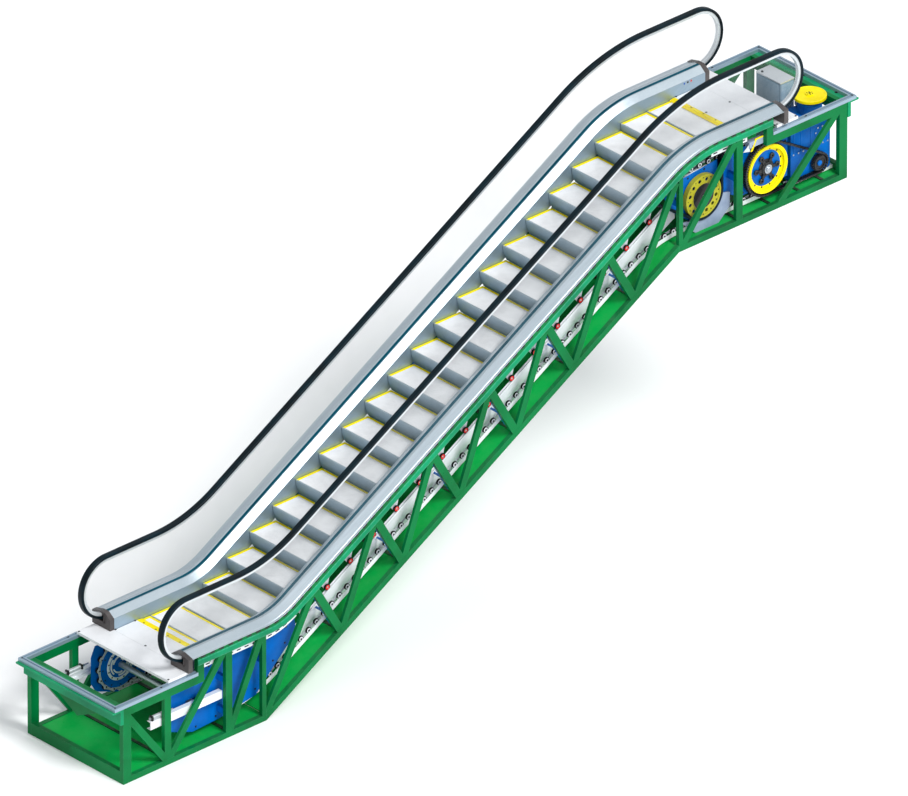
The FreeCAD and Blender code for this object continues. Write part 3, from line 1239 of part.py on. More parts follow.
# ---- write every piece ----
def build():
    lower_side = side_lower()
    incline_side = side_incline()
    upper_side = side_upper()
    near_deck = deck()
    low_heel = X0 + LOWER_COMB_PLATE[0] + PLATE_JOINT
    low_toe = X0 + LOWER_COMB_PLATE[1]
    high_heel = X1 - UPPER_COMB_PLATE[0] - PLATE_JOINT
    high_toe = X1 - UPPER_COMB_PLATE[1]
    tracks = step_tracks()
    sprockets = both_sides(chain_sprocket())
    near_handrail = handrail()
    return {
        "truss_side_near_lower": lower_side,
        "truss_side_near_incline": incline_side,
        "truss_side_near_upper": upper_side,
        "truss_side_far_lower": other_side(lower_side),
        "truss_side_far_incline": other_side(incline_side),
        "truss_side_far_upper": other_side(upper_side),
        "truss_ends": group([end_lower(), end_upper()]),
        "bottom_ribs": bottom_ribs(),
        "bottom_pan_lower": pan_lower(),
        "bottom_pan_incline": pan_incline(),
        "bottom_pan_upper": pan_upper(),
        "support_angles": group([support_lower(), support_upper()]),
        "pit_trims": group([
            pit_trim(X0 - TRIM_OUT, X0 + LOWER_HEAD_POST, FLOOR_LOW),
            pit_trim(X1 + TRIM_OUT, X1 - UPPER_HEAD_POST, FLOOR_HIGH)]),
        "floor_plates": group([
            floor_plate(X0 + LOWER_PLATE[0], X0 + LOWER_PLATE[1], FLOOR_LOW),
            floor_plate(X1 - UPPER_PLATE[1], X1 - UPPER_PLATE[0], FLOOR_HIGH)]),
        "comb_plates": group([
            comb_plate(low_heel, low_toe, FLOOR_LOW),
            comb_plate(high_heel, high_toe, FLOOR_HIGH)]),
        "combs": group([comb(low_toe, 1, FLOOR_LOW), comb(high_toe, -1, FLOOR_HIGH)]),
        "landing_beams": group([
            landing_beam(X0 + LOWER_COMB_PLATE[0], 1, FLOOR_LOW),
            landing_beam(X1 - UPPER_COMB_PLATE[0], -1, FLOOR_HIGH)]),
        "steps": steps(),
        "step_rollers": step_rollers(),
        "step_chains": both_sides(step_chain()),
        "step_tracks_near": tracks,
        "step_tracks_far": other_side(tracks),
        "skirts": both_sides(skirt()),
        "deck_near": near_deck,
        "deck_far": other_side(near_deck),
        "deck_strips": both_sides(deck_strip()),
        "glass_panels": both_sides(glass()),
        "handrail_guides": both_sides(handrail_guide()),
        "handrail_near": near_handrail,
        "handrail_far": other_side(near_handrail),
        "newel_caps": newel_caps(),
        "track_brackets": both_sides(track_brackets()),
        "lower_track_panels": both_sides(lower_track_panel()),
        "upper_track_panels": both_sides(upper_track_panel()),
        "panel_brackets": both_sides(panel_brackets()),
        "turnaround_guides": both_sides(turnaround()),
        "turnaround_shaft": turnaround_shaft(),
        "tension_carriages": both_sides(tension_carriage()),
        "tension_springs": both_sides(tension_spring()),
        "main_shaft": main_shaft(),
        "chain_sprockets": sprockets,
        "main_drive_wheel": main_drive_wheel(),
        "drive_chain": drive_chain(),
        "drive_pinion": pinion(),
        "gearbox": gearbox(),
        "motor": motor(),
        "flywheel": flywheel(),
        "machine_bed": machine_bed(),
        "handrail_wheels": both_sides(handrail_wheel()),
        "handrail_shaft": handrail_shaft(),
        "handrail_shoes": both_sides(handrail_shoe()),
        "brake_unit": brake_unit(),
        "controller_cabinet": controller_cabinet(),
        "control_buttons": control_buttons(),
    }


os.makedirs("parts", exist_ok=True)
for name, shape in build().items():
    shape.exportStep("parts/" + name + ".step")
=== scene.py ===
import bmesh
import bpy
import math
from mathutils import Matrix, Vector


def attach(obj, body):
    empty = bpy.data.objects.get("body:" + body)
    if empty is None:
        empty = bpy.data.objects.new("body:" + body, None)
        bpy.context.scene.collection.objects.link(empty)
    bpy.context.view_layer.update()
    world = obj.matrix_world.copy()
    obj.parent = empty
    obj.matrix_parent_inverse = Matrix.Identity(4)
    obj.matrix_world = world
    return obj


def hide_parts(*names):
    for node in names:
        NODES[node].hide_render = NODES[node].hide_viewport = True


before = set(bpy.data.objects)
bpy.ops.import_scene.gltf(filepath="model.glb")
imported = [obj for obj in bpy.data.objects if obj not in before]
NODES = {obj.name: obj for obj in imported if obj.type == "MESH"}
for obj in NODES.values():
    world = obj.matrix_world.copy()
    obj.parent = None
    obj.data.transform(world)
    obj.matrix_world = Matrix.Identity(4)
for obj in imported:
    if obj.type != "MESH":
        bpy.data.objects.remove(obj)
SCENE = bpy.context.scene
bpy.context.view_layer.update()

# ---- the escalator's own measures, in metres ----
SLOPE = math.radians(30)
TAN, SIN, COS = math.tan(SLOPE), math.sin(SLOPE), math.cos(SLOPE)
HALF_TAN = math.tan(SLOPE / 2)
RISE = 3.64
SIDE = 0.8                      # outer face of the truss
X0, X1 = 0.082, 11.145665       # the truss's two ends
FLOOR_LOW = 0.095
FLOOR_HIGH = FLOOR_LOW + RISE
BASE_LOW = -0.955
BASE_HIGH = BASE_LOW + RISE
WORK_LOW = 2.3393               # where the slope's working line meets the lower floor
CURVE = 1.5
CHORD_CURVE = 0.95
PITCH = 0.406                   # one step's nose to the next
STEP_EDGE = 0.5
STEP_DROP = 0.02                # floor down to a level step
STEP_PHASE = 0.198
COMB_REACH = 0.066 + 0.014
FIRST_NOSE = X0 + 1.043 + COMB_REACH
LAST_NOSE = X1 - 1.057 - COMB_REACH - 0.4
CHAIN_PIN = (0.075, -0.18)      # from a step's nose
WHEEL_PIN = (0.244, -0.378)
TURN, TURN_RADIUS = (1.262, -0.4125), 0.3075
MAIN, MAIN_RADIUS = (10.001665, 3.185), 0.35
PINION = (10.811665, 2.957)
MOTOR = (10.909665, -0.425)     # x and y of its upright axle
HANDRAIL_Y = 0.665
HANDRAIL_RETURN = 0.117         # floor up to the returning handrail
HANDRAIL_WHEEL, HANDRAIL_WRAP = (9.024665, 3.19), 0.285
NEWEL_RADIUS = 0.378
NEWEL_LOW = (1.152, FLOOR_LOW + 0.495)
NEWEL_HIGH = (10.164665, FLOOR_HIGH + 0.495)
DRIVE_PITCH = 0.03175           # duplex drive chain
DRIVE_ROWS = (-0.6935, -0.6665)
SIDES = ((-1, "near"), (1, "far"))


# ---- lines in the side plane, as (x, z) points ----
def rise_line(level, lift, low_curve, high_curve, x0, x1, top=None, pieces=12):
    """Level, curve, slope, curve, level."""
    top = level if top is None else top
    low_z, high_z = FLOOR_LOW + level, FLOOR_HIGH + top
    low_x = WORK_LOW + (level - lift) / TAN - low_curve * HALF_TAN
    high_x = WORK_LOW + (RISE + top - lift) / TAN + high_curve * HALF_TAN
    turns = [SLOPE * i / pieces for i in range(pieces + 1)]
    points = [(x0, low_z)]
    points += [(low_x + low_curve * math.sin(a), low_z + low_curve * (1 - math.cos(a))) for a in turns]
    turns.reverse()
    points += [(high_x - high_curve * math.sin(a), high_z - high_curve * (1 - math.cos(a))) for a in turns]
    return points + [(x1, high_z)]


def round_point(centre, radius, degrees):
    a = math.radians(degrees)
    return centre[0] + radius * math.cos(a), centre[1] + radius * math.sin(a)


def arc(centre, radius, start, end, pieces):
    """Points round a centre, from one angle in degrees to another."""
    return [round_point(centre, radius, start + (end - start) * i / pieces) for i in range(pieces + 1)]


def pill(half, radius):
    """The outline of a slot with round ends."""
    return arc((half, 0), radius, -90, 90, 6) + arc((-half, 0), radius, 90, 270, 6)


def lengths(points):
    total = [0.0]
    for a, b in zip(points, points[1:]):
        total.append(total[-1] + math.dist(a, b))
    return total


def along(points, distance):
    """The point at a distance along a line."""
    total = lengths(points)
    for i in range(1, len(points)):
        if distance <= total[i] or i == len(points) - 1:
            a, b = points[i - 1], points[i]
            share = (distance - total[i - 1]) / (total[i] - total[i - 1])
            return a[0] + (b[0] - a[0]) * share, a[1] + (b[1] - a[1]) * share


def trimmed(points, start, stop):
    """A line without its first and last lengths."""
    total = lengths(points)
    inside = [p for p, d in zip(points, total) if start < d < total[-1] - stop]
    return [along(points, start)] + inside + [along(points, total[-1] - stop)]


def step_noses():
    """Every step's nose, from under the lower comb to under the upper one."""
    noses = []
    curve = CURVE * SLOPE
    low_x = WORK_LOW - STEP_DROP / TAN - CURVE * HALF_TAN
    high_x = WORK_LOW + (RISE - STEP_DROP) / TAN + CURVE * HALF_TAN
    low_z = FLOOR_LOW - STEP_DROP
    start = (low_x + CURVE * SIN, low_z + CURVE * (1 - COS))
    straight = math.dist(start, (high_x - CURVE * SIN, low_z + RISE - CURVE * (1 - COS)))
    distance = curve + STEP_PHASE - 40 * PITCH
    while True:
        rest = distance - curve
        if distance < 0:
            nose = (low_x + distance, low_z)
        elif rest < 0:
            a = distance / CURVE
            nose = (low_x + CURVE * math.sin(a), low_z + CURVE * (1 - math.cos(a)))
        elif rest < straight:
            nose = (start[0] + rest * COS, start[1] + rest * SIN)
        elif rest - straight < curve:
            a = SLOPE - (rest - straight) / CURVE
            nose = (high_x - CURVE * math.sin(a), low_z + RISE - CURVE * (1 - math.cos(a)))
        else:
            nose = (high_x + rest - straight - curve, low_z + RISE)
        if nose[0] > LAST_NOSE:
            return noses
        if nose[0] > FIRST_NOSE:
            noses.append(nose)
        distance += PITCH


NOSES = step_noses()


# ---- meshes ----
def closed(form):
    """Join doubles and turn every face outwards."""
    bmesh.ops.remove_doubles(form, verts=form.verts, dist=1e-6)
    bmesh.ops.recalc_face_normals(form, faces=form.faces)
    return form


def prism(outline, y0, y1, bevel=0.0, segments=2):
    """A plate in the side plane from y0 to y1, from an (x, z) outline."""
    form = bmesh.new()
    bottom, top = ([form.verts.new((x, y, z)) for x, z in outline] for y in (y0, y1))
    form.faces.new(bottom)
    form.faces.new(top)
    for i in range(len(outline)):
        j = (i + 1) % len(outline)
        form.faces.new((bottom[i], bottom[j], top[j], top[i]))
    closed(form)
    if bevel:
        bmesh.ops.bevel(
            form, geom=list(form.edges), offset=bevel, segments=segments, profile=0.5, affect="EDGES")
    return form


def brick(low, high, bevel=0.0, segments=2):
    outline = [(low[0], low[2]), (high[0], low[2]), (high[0], high[2]), (low[0], high[2])]
    return prism(outline, low[1], high[1], bevel, segments)


def lathe(profile, sides, centre=(0.0, 0.0), upright=None):
    """Turn a closed (radius, place) outline about Y, or about Z at a point."""
    form = bmesh.new()
    rings = []
    for i in range(sides):
        ring = []
        for radius, place in profile:
            a = 2 * math.pi * i / sides
            one, two = radius * math.cos(a), radius * math.sin(a)
            if upright:
                spot = (upright[0] + one, upright[1] + two, place)
            else:
                spot = (centre[0] + one, place, centre[1] + two)
            ring.append(form.verts.new(spot))
        rings.append(ring)
    count = len(profile)
    for here, there in zip(rings, rings[1:] + rings[:1]):
        for k in range(count):
            n = (k + 1) % count
            if profile[k][0] < 1e-7 and profile[n][0] < 1e-7:
                continue
            form.faces.new((here[k], here[n], there[n], there[k]))
    bmesh.ops.remove_doubles(form, verts=form.verts, dist=1e-6)
    thin = [f for f in form.faces if f.calc_area() < 1e-12]
    bmesh.ops.delete(form, geom=thin, context="FACES")
    bmesh.ops.recalc_face_normals(form, faces=form.faces)
    return form


def drum(inner, outer, low, high, sides, centre=(0.0, 0.0), upright=None):
    """A plain ring or disc between two places on its axle."""
    return lathe([(inner, low), (outer, low), (outer, high), (inner, high)], sides, centre, upright)


def counted(base, *profile):
    """A profile whose places are counted from a base."""
    return [(radius, base + place) for radius, place in profile]


def tube(form, rings, loop=False):
    """Join a row of rings; the ends are capped unless it is a loop."""
    for here, there in zip(rings, rings[1:] + (rings[:1] if loop else [])):
        for k in range(len(here)):
            n = (k + 1) % len(here)
            form.faces.new((here[k], here[n], there[n], there[k]))
    if not loop:
        form.faces.new(rings[0])
        form.faces.new(rings[-1])
    return closed(form)


def sweep(points, profile, loop=False):
    """Carry a closed (y, height) outline along a line, square to it."""
    form = bmesh.new()
    count = len(points)
    rings = []
    for i, (x, z) in enumerate(points):
        before = points[i - 1] if i or loop else points[i]
        after = points[(i + 1) % count] if i < count - 1 or loop else points[i]
        dx, dz = after[0] - before[0], after[1] - before[1]
        size = math.hypot(dx, dz)
        rings.append([form.verts.new((x - dz / size * h, y, z + dx / size * h)) for y, h in profile])
    return tube(form, rings, loop)


def together(forms):
    """Several forms in one."""
    whole = bmesh.new()
    for form in forms:
        mesh = bpy.data.meshes.new("part")
        form.to_mesh(mesh)
        form.free()
        whole.from_mesh(mesh)
        bpy.data.meshes.remove(mesh)
    return whole


def other_side(form):
    """A form mirrored to the far side, with its faces still outwards."""
    bmesh.ops.scale(form, vec=(1, -1, 1), verts=form.verts)
    bmesh.ops.reverse_faces(form, faces=form.faces)
    return form


def shifted(form, x=0.0, y=0.0, z=0.0):
    bmesh.ops.translate(form, vec=(x, y, z), verts=form.verts)
    return form


def quarter_turned(form, axis):
    turn = Matrix.Rotation(math.pi / 2, 3, axis)
    bmesh.ops.rotate(form, cent=(0, 0, 0), matrix=turn, verts=form.verts)
    return form


def to_mesh(form, name, smooth=35.0):
    mesh = bpy.data.meshes.new(name)
    form.to_mesh(mesh)
    form.free()
    mesh.polygons.foreach_set("use_smooth", [True] * len(mesh.polygons))
    mesh.set_sharp_from_angle(angle=math.radians(smooth))
    return mesh


def linked(name, mesh):
    made = bpy.data.objects.new(name, mesh)
    SCENE.collection.objects.link(made)
    return made


def fit(name, mesh, material, body, replaces):
    """A finished piece, with its one material, on its body."""
    piece = linked(name, mesh)
    mesh.materials.clear()
    mesh.materials.append(material)
    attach(piece, body)
    if replaces:
        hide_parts(*replaces)


def place(name, form, finish, slot, body="truss", replaces=(), smooth=35.0):
    fit(name, to_mesh(form, name, smooth), FINISHES[finish], body, replaces)


def keep(name, meshes, body="truss", replaces=()):
    """Join repeated meshes of one finish into one piece."""
    whole = bmesh.new()
    material = next(m for m in meshes[0].materials if m)
    for mesh in meshes:
        whole.from_mesh(mesh)
    for face in whole.faces:
        face.material_index = 0
    result = bpy.data.meshes.new(name)
    whole.to_mesh(result)
    whole.free()
    fit(name, result, material, body, replaces)


# ---- node trees ----
class Web:
    """A node tree whose nodes are added with their inputs."""

    def __init__(self, tree):
        self.tree = tree

    def node(self, kind, inputs=None, **settings):
        made = self.tree.nodes.new(kind)
        for key, value in settings.items():
            setattr(made, key, value)
        for socket, value in (inputs or {}).items():
            self.put(made.inputs[socket], value)
        return made

    def put(self, target, value):
        if isinstance(value, bpy.types.NodeSocket):
            self.tree.links.new(value, target)
        else:
            target.default_value = value


class Recipe(Web):
    """Repeats the piece it is given; run once on that piece's mesh."""

    def __init__(self, name, **inputs):
        super().__init__(bpy.data.node_groups.new(name, "GeometryNodeTree"))
        sockets = self.tree.interface
        for title, kind in {"Piece": "Geometry", **inputs, "Finish": "Material"}.items():
            sockets.new_socket(title, in_out="INPUT", socket_type="NodeSocket" + kind)
        sockets.new_socket("Result", in_out="OUTPUT", socket_type="NodeSocketGeometry")
        self.given = self.node("NodeGroupInput").outputs

    def spread(self, points, rotation=None):
        """The piece on every point, made real."""
        inputs = {"Points": points, "Instance": self.given["Piece"]}
        if rotation:
            inputs["Rotation"] = rotation
        copies = self.node("GeometryNodeInstanceOnPoints", inputs).outputs["Instances"]
        return self.node("GeometryNodeRealizeInstances", {"Geometry": copies}).outputs["Geometry"]

    def end(self, geometry):
        coat = self.node("GeometryNodeSetMaterial", {"Geometry": geometry, "Material": self.given["Finish"]})
        self.node("NodeGroupOutput", {"Result": coat.outputs["Geometry"]})
        return self

    def run(self, name, form, finish, **values):
        """The recipe's result on a form, as a mesh of its own."""
        values["Finish"] = FINISHES[finish]
        mesh = form if isinstance(form, bpy.types.Mesh) else to_mesh(form, name)
        holder = linked(name, mesh)
        work = holder.modifiers.new("recipe", "NODES")
        work.node_group = self.tree
        for item in self.tree.interface.items_tree:
            if item.in_out == "INPUT" and item.name in values:
                work[item.identifier] = values[item.name]
        bpy.context.view_layer.update()
        graph = bpy.context.evaluated_depsgraph_get()
        result = bpy.data.meshes.new_from_object(holder.evaluated_get(graph), depsgraph=graph)
        holder.modifiers.remove(work)
        bpy.data.objects.remove(holder)
        bpy.data.meshes.remove(mesh)
        return result

    def run_guided(self, name, form, finish, mesh, **values):
        """Run it along, or on the corners of, a mesh of its own."""
        guide = linked(name + "_guide", mesh)
        result = self.run(name, form, finish, Guide=guide, **values)
        bpy.data.objects.remove(guide)
        return result


def along_recipe():
    """Repeats a piece along a line, turned to follow it."""
    web = Recipe("along_line", Guide="Object", Count="Int")
    line = web.node("GeometryNodeObjectInfo", {"Object": web.given["Guide"]}).outputs["Geometry"]
    curve = web.node("GeometryNodeMeshToCurve", {"Mesh": line}).outputs["Curve"]
    spaced = web.node("GeometryNodeResampleCurve", {"Curve": curve, "Count": web.given["Count"]})
    tangent = web.node("GeometryNodeInputTangent").outputs["Tangent"]
    turn = web.node("FunctionNodeAlignRotationToVector", {"Vector": tangent}, axis="X", pivot_axis="Y")
    return web.end(web.spread(spaced.outputs["Curve"], turn.outputs["Rotation"]))


def row_recipe():
    """Repeats a piece at even steps."""
    web = Recipe("even_row", Count="Int", Start="Vector", Step="Vector")
    given = web.given
    row = web.node("GeometryNodeMeshLine", {
        "Count": given["Count"], "Start Location": given["Start"], "Offset": given["Step"]}, mode="OFFSET")
    return web.end(web.spread(row.outputs["Mesh"]))


def ring_recipe():
    """Repeats a piece round a centre; it is drawn about Z and tilted after."""
    web = Recipe("ring", Count="Int", Radius="Float", Centre="Vector", Tilt="Vector")
    given = web.given
    ring = web.node("GeometryNodeMeshCircle", {"Vertices": given["Count"], "Radius": given["Radius"]})
    spot = web.node("GeometryNodeInputPosition").outputs["Position"]
    turn = web.node("FunctionNodeAlignRotationToVector", {"Vector": spot}, axis="X", pivot_axis="Z")
    real = web.spread(ring.outputs["Mesh"], turn.outputs["Rotation"])
    move = web.node("GeometryNodeTransform", {
        "Geometry": real, "Rotation": given["Tilt"], "Translation": given["Centre"]})
    return web.end(move.outputs["Geometry"])


def marks_recipe():
    """Repeats a piece on marked spots."""
    web = Recipe("marked_spots", Guide="Object")
    marks = web.node("GeometryNodeObjectInfo", {"Object": web.given["Guide"]})
    return web.end(web.spread(marks.outputs["Geometry"]))


ALONG, ROW, RING, MARKS = along_recipe(), row_recipe(), ring_recipe(), marks_recipe()


def guide_mesh(name, spots, links=()):
    mesh = bpy.data.meshes.new(name + "_guide")
    mesh.from_pydata(spots, links, [])
    return mesh


def repeat_along(name, form, points, count, finish):
    links = [(i, i + 1) for i in range(len(points) - 1)]
    line = guide_mesh(name, [(x, 0.0, z) for x, z in points], links)
    return ALONG.run_guided(name, form, finish, line, Count=count)


def repeat_row(name, form, count, start, step, finish):
    return ROW.run(name, form, finish, Count=count, Start=start, Step=step)


def repeat_ring(name, form, count, radius, centre, finish):
    """The piece points out along X from the centre, with Z along the axle."""
    tilt = (math.pi / 2, 0.0, 0.0)
    return RING.run(name, form, finish, Count=count, Radius=radius, Centre=centre, Tilt=tilt)


def keep_at(name, form, spots, finish, body="truss", replaces=()):
    """One piece made of a form on every spot."""
    mesh = MARKS.run_guided(name, form, finish, guide_mesh(name, spots))
    keep(name, [mesh], body, replaces)


# ---- shader groups ----
def tone(red, green, blue):
    """A colour given in 0 to 255 steps, as linear light."""
    shares = [part / 255 for part in (red, green, blue)]
    return (*[s / 12.92 if s <= 0.04045 else ((s + 0.055) / 1.055) ** 2.4 for s in shares], 1.0)


class Shading(Web):
    """A shader tree with short names for its usual nodes."""

    def mix(self, share, first, second, blend="MIX"):
        made = self.node("ShaderNodeMix", {0: share}, data_type="RGBA", blend_type=blend)
        self.put(made.inputs[6], first)
        self.put(made.inputs[7], second)
        return made.outputs[2]

    def sum(self, operation, first, second=0.0, clamp=False):
        return self.node("ShaderNodeMath", {0: first, 1: second}, operation=operation, use_clamp=clamp).outputs[0]

    def range(self, value, low, high, to_low=0.0, to_high=1.0, kind="LINEAR"):
        inputs = dict(enumerate((value, low, high, to_low, to_high)))
        return self.node("ShaderNodeMapRange", inputs, interpolation_type=kind).outputs[0]

    def noise(self, place, scale, detail=3.0, roughness=0.55):
        inputs = {"Vector": place, "Scale": scale, "Detail": detail, "Roughness": roughness}
        return self.node("ShaderNodeTexNoise", inputs).outputs["Fac"]

    def place(self):
        return self.node("ShaderNodeTexCoord").outputs["Object"]

    def stretched(self, place, scale, lean=0.0):
        """The place turned about Y and stretched."""
        inputs = {"Vector": place, "Rotation": (0, lean, 0), "Scale": scale}
        return self.node("ShaderNodeMapping", inputs).outputs[0]


def shader_group(name, inputs, outputs):
    """An empty group; inputs give each socket's first value, and its kind with it."""
    tree = bpy.data.node_groups.new(name, "ShaderNodeTree")
    kinds = {float: "Float", 3: "Vector", 4: "Color"}
    for title, value in inputs.items():
        kind = kinds[len(value) if isinstance(value, tuple) else float]
        socket = tree.interface.new_socket(title, in_out="INPUT", socket_type="NodeSocket" + kind)
        socket.default_value = value
    for title in outputs:
        kind = "Color" if title == "Colour" else "Float"
        tree.interface.new_socket(title, in_out="OUTPUT", socket_type="NodeSocket" + kind)
    web = Shading(tree)
    return web, web.node("NodeGroupInput").outputs, web.node("NodeGroupOutput").inputs


def make_paint_skin():
    """Brushed-on colour: broad tone changes, chips to the metal, fine orange peel."""
    grey = tone(120, 125, 120)
    web, given, out = shader_group("paint_skin", {
        "Colour": grey, "Deep Colour": grey, "Bare Colour": grey, "Patch Scale": 1.2, "Wear": 0.3},
        ("Colour", "Roughness", "Height"))
    place = web.place()
    broad = web.noise(place, given["Patch Scale"], 5.0, 0.6)
    fine = web.noise(place, 38.0, 4.0, 0.65)
    peel = web.noise(place, 260.0, 2.0, 0.5)
    base = web.mix(web.range(broad, 0.35, 0.68, kind="SMOOTHSTEP"), given["Colour"], given["Deep Colour"])
    limit = web.range(given["Wear"], 0.0, 1.0, 0.86, 0.60)
    chips = web.range(fine, limit, web.sum("ADD", limit, 0.03))
    rough = web.range(fine, 0.3, 0.7, 0.26, 0.46)
    web.put(out["Colour"], web.mix(chips, base, given["Bare Colour"]))
    web.put(out["Roughness"], web.sum("ADD", rough, web.sum("MULTIPLY", chips, 0.2), True))
    web.put(out["Height"], web.sum("SUBTRACT", web.sum("MULTIPLY", peel, 0.35), chips))
    return web.tree


def make_edge_highlight_and_wear():
    """A mask along outward corners, broken up by noise, for wear and a painted highlight on the edges."""
    web, given, out = shader_group("edge_highlight_and_wear", {"Reach": 0.008, "Breaks": 30.0}, ("Mask",))
    inward = web.node(
        "ShaderNodeAmbientOcclusion", {"Distance": given["Reach"]}, samples=4, inside=True, only_local=True)
    corner = web.range(inward.outputs["AO"], 0.85, 0.45)
    broken = web.range(web.noise(web.place(), given["Breaks"], 3.0), 0.42, 0.58, 0.25, 1.0)
    web.put(out["Mask"], web.sum("MULTIPLY", corner, broken, True))
    return web.tree


def make_metal_grain():
    """Fine lines from brushing or rolling, along the stretched direction."""
    web, given, out = shader_group("metal_grain", {
        "Stretch": (2.0, 160.0, 160.0), "Lean": (0.0, 0.0, 0.0)}, ("Shade", "Height"))
    place = web.node("ShaderNodeMapping", {"Vector": web.place(), "Rotation": given["Lean"]}).outputs[0]
    lines = web.node("ShaderNodeVectorMath", {0: place, 1: given["Stretch"]}, operation="MULTIPLY")
    fine = web.noise(lines.outputs[0], 1.0, 4.0, 0.7)
    broad = web.range(web.noise(web.place(), 1.7, 3.0), 0.3, 0.7, 0.93, 1.0)
    web.put(out["Shade"], web.sum("MULTIPLY", web.range(fine, 0.25, 0.75, 0.86, 1.0), broad))
    web.put(out["Height"], fine)
    return web.tree


def make_dust_cover():
    """A mask of settled dust on faces that look up."""
    web, given, out = shader_group("dust_cover", {"Amount": 0.3}, ("Mask",))
    normal = web.node("ShaderNodeNewGeometry").outputs["Normal"]
    upward = web.node("ShaderNodeSeparateXYZ", {0: normal}).outputs["Z"]
    facing = web.range(upward, 0.35, 0.95, kind="SMOOTHSTEP")
    broken = web.range(web.noise(web.place(), 7.0, 5.0, 0.7), 0.38, 0.72)
    web.put(out["Mask"], web.sum("MULTIPLY", web.sum("MULTIPLY", facing, broken), given["Amount"], True))
    return web.tree


def make_oil_film():
    """Dark streaks of oil and rubbed brighter spots on running parts."""
    web, given, out = shader_group("oil_film", {"Amount": 0.5}, ("Dark", "Rubbed"))
    place = web.place()
    streak = web.noise(web.stretched(place, (9.0, 14.0, 3.0)), 1.0, 5.0, 0.7)
    web.put(out["Dark"], web.sum("MULTIPLY", web.range(streak, 0.45, 0.7), given["Amount"], True))
    web.put(out["Rubbed"], web.range(web.noise(place, 55.0, 3.0), 0.55, 0.72))
    return web.tree


def make_cleat_lines():
    """Even grooves across the width, as a height and a mask."""
    web, given, out = shader_group("cleat_lines", {"Pitch": 0.009, "Share": 0.4}, ("Mask", "Height"))
    across = web.node("ShaderNodeSeparateXYZ", {0: web.place()}).outputs["Y"]
    beat = web.sum("FRACT", web.sum("DIVIDE", across, given["Pitch"]))
    middle = web.sum("ABSOLUTE", web.sum("SUBTRACT", beat, 0.5))
    half = web.sum("MULTIPLY", given["Share"], 0.5)
    groove = web.range(middle, web.sum("ADD", half, 0.06), half)
    web.put(out["Mask"], groove)
    web.put(out["Height"], web.sum("SUBTRACT", 1.0, groove))
    return web.tree


PAINT_SKIN = make_paint_skin()
EDGE_HIGHLIGHT_AND_WEAR = make_edge_highlight_and_wear()
METAL_GRAIN = make_metal_grain()
DUST_COVER = make_dust_cover()
OIL_FILM = make_oil_film()
CLEAT_LINES = make_cleat_lines()


# ---- finishes ----
class Finish(Shading):
    """A material round one Principled shader; constant values sit on its own sockets."""

    def __init__(self, name, **values):
        self.material = bpy.data.materials.new(name)
        self.material.use_nodes = True
        super().__init__(self.material.node_tree)
        self.shader = self.tree.nodes["Principled BSDF"]
        for key, value in values.items():
            self.feed(key.replace("_", " "), value)

    def group(self, tree, **values):
        made = self.node("ShaderNodeGroup")
        made.node_tree = tree
        for key, value in values.items():
            self.put(made.inputs[key.replace("_", " ")], value)
        return made.outputs

    def feed(self, socket, value):
        self.put(self.shader.inputs[socket], value)

    def bump(self, height, strength, distance):
        made = self.node("ShaderNodeBump", {"Strength": strength, "Distance": distance, "Height": height})
        self.feed("Normal", made.outputs["Normal"])
        return self.material


def painted(name, colour, deep, bare, wear, scale, edges, dust, gloss):
    """Painted steel with chips, dust, and worn corners lightened also as a painted highlight."""
    made = Finish(name, Metallic=0.0, Coat_Weight=gloss, Coat_Roughness=0.25, Specular_IOR_Level=0.1)
    skin = made.group(
        PAINT_SKIN, Colour=tone(*colour), Deep_Colour=tone(*deep), Bare_Colour=tone(*bare),
        Patch_Scale=scale, Wear=wear)
    base = skin["Colour"]
    # the lighter colour on outward corners is partly wear and partly a painted highlight along the edges
    if edges:
        highlight_and_wear_share = made.sum("MULTIPLY", made.group(EDGE_HIGHLIGHT_AND_WEAR)["Mask"], edges)
        base = made.mix(highlight_and_wear_share, base, tone(*[min(255, int(c * 0.6 + 95)) for c in colour]))
    mask = made.group(DUST_COVER, Amount=dust)["Mask"]
    made.feed("Base Color", made.mix(mask, base, tone(176, 172, 160)))
    made.feed("Roughness", made.sum("ADD", skin["Roughness"], made.sum("MULTIPLY", mask, 0.35), True))
    return made.bump(skin["Height"], 0.25, 0.0006)


def brushed(name, colour, dark, rough, metal, stretch, lean, dust):
    """Brushed or plated metal with fine lines."""
    made = Finish(name, Metallic=metal, Anisotropic=0.3)
    grain = made.group(METAL_GRAIN, Stretch=stretch, Lean=(0.0, lean, 0.0))
    base = made.mix(made.range(grain["Shade"], 0.78, 1.0), tone(*dark), tone(*colour))
    mask = made.group(DUST_COVER, Amount=dust)["Mask"]
    made.feed("Base Color", made.mix(mask, base, tone(186, 184, 176)))
    made.feed("Roughness", made.range(grain["Height"], 0.3, 0.7, rough, rough + 0.16))
    return made.bump(grain["Height"], 0.12, 0.0003)


def oiled(name, colour, rubbed, metal, rough, amount):
    """Oiled dark iron with rubbed spots."""
    made = Finish(name, Metallic=metal, Coat_Weight=0.3, Coat_Roughness=0.2)
    film = made.group(OIL_FILM, Amount=amount)
    base = made.mix(film["Rubbed"], tone(*colour), tone(*rubbed))
    made.feed("Base Color", made.mix(film["Dark"], base, tone(12, 11, 10)))
    made.feed("Roughness", made.range(film["Dark"], 0.0, 1.0, rough + 0.15, rough - 0.08))
    return made.bump(made.noise(made.place(), 180.0, 3.0), 0.2, 0.0004)


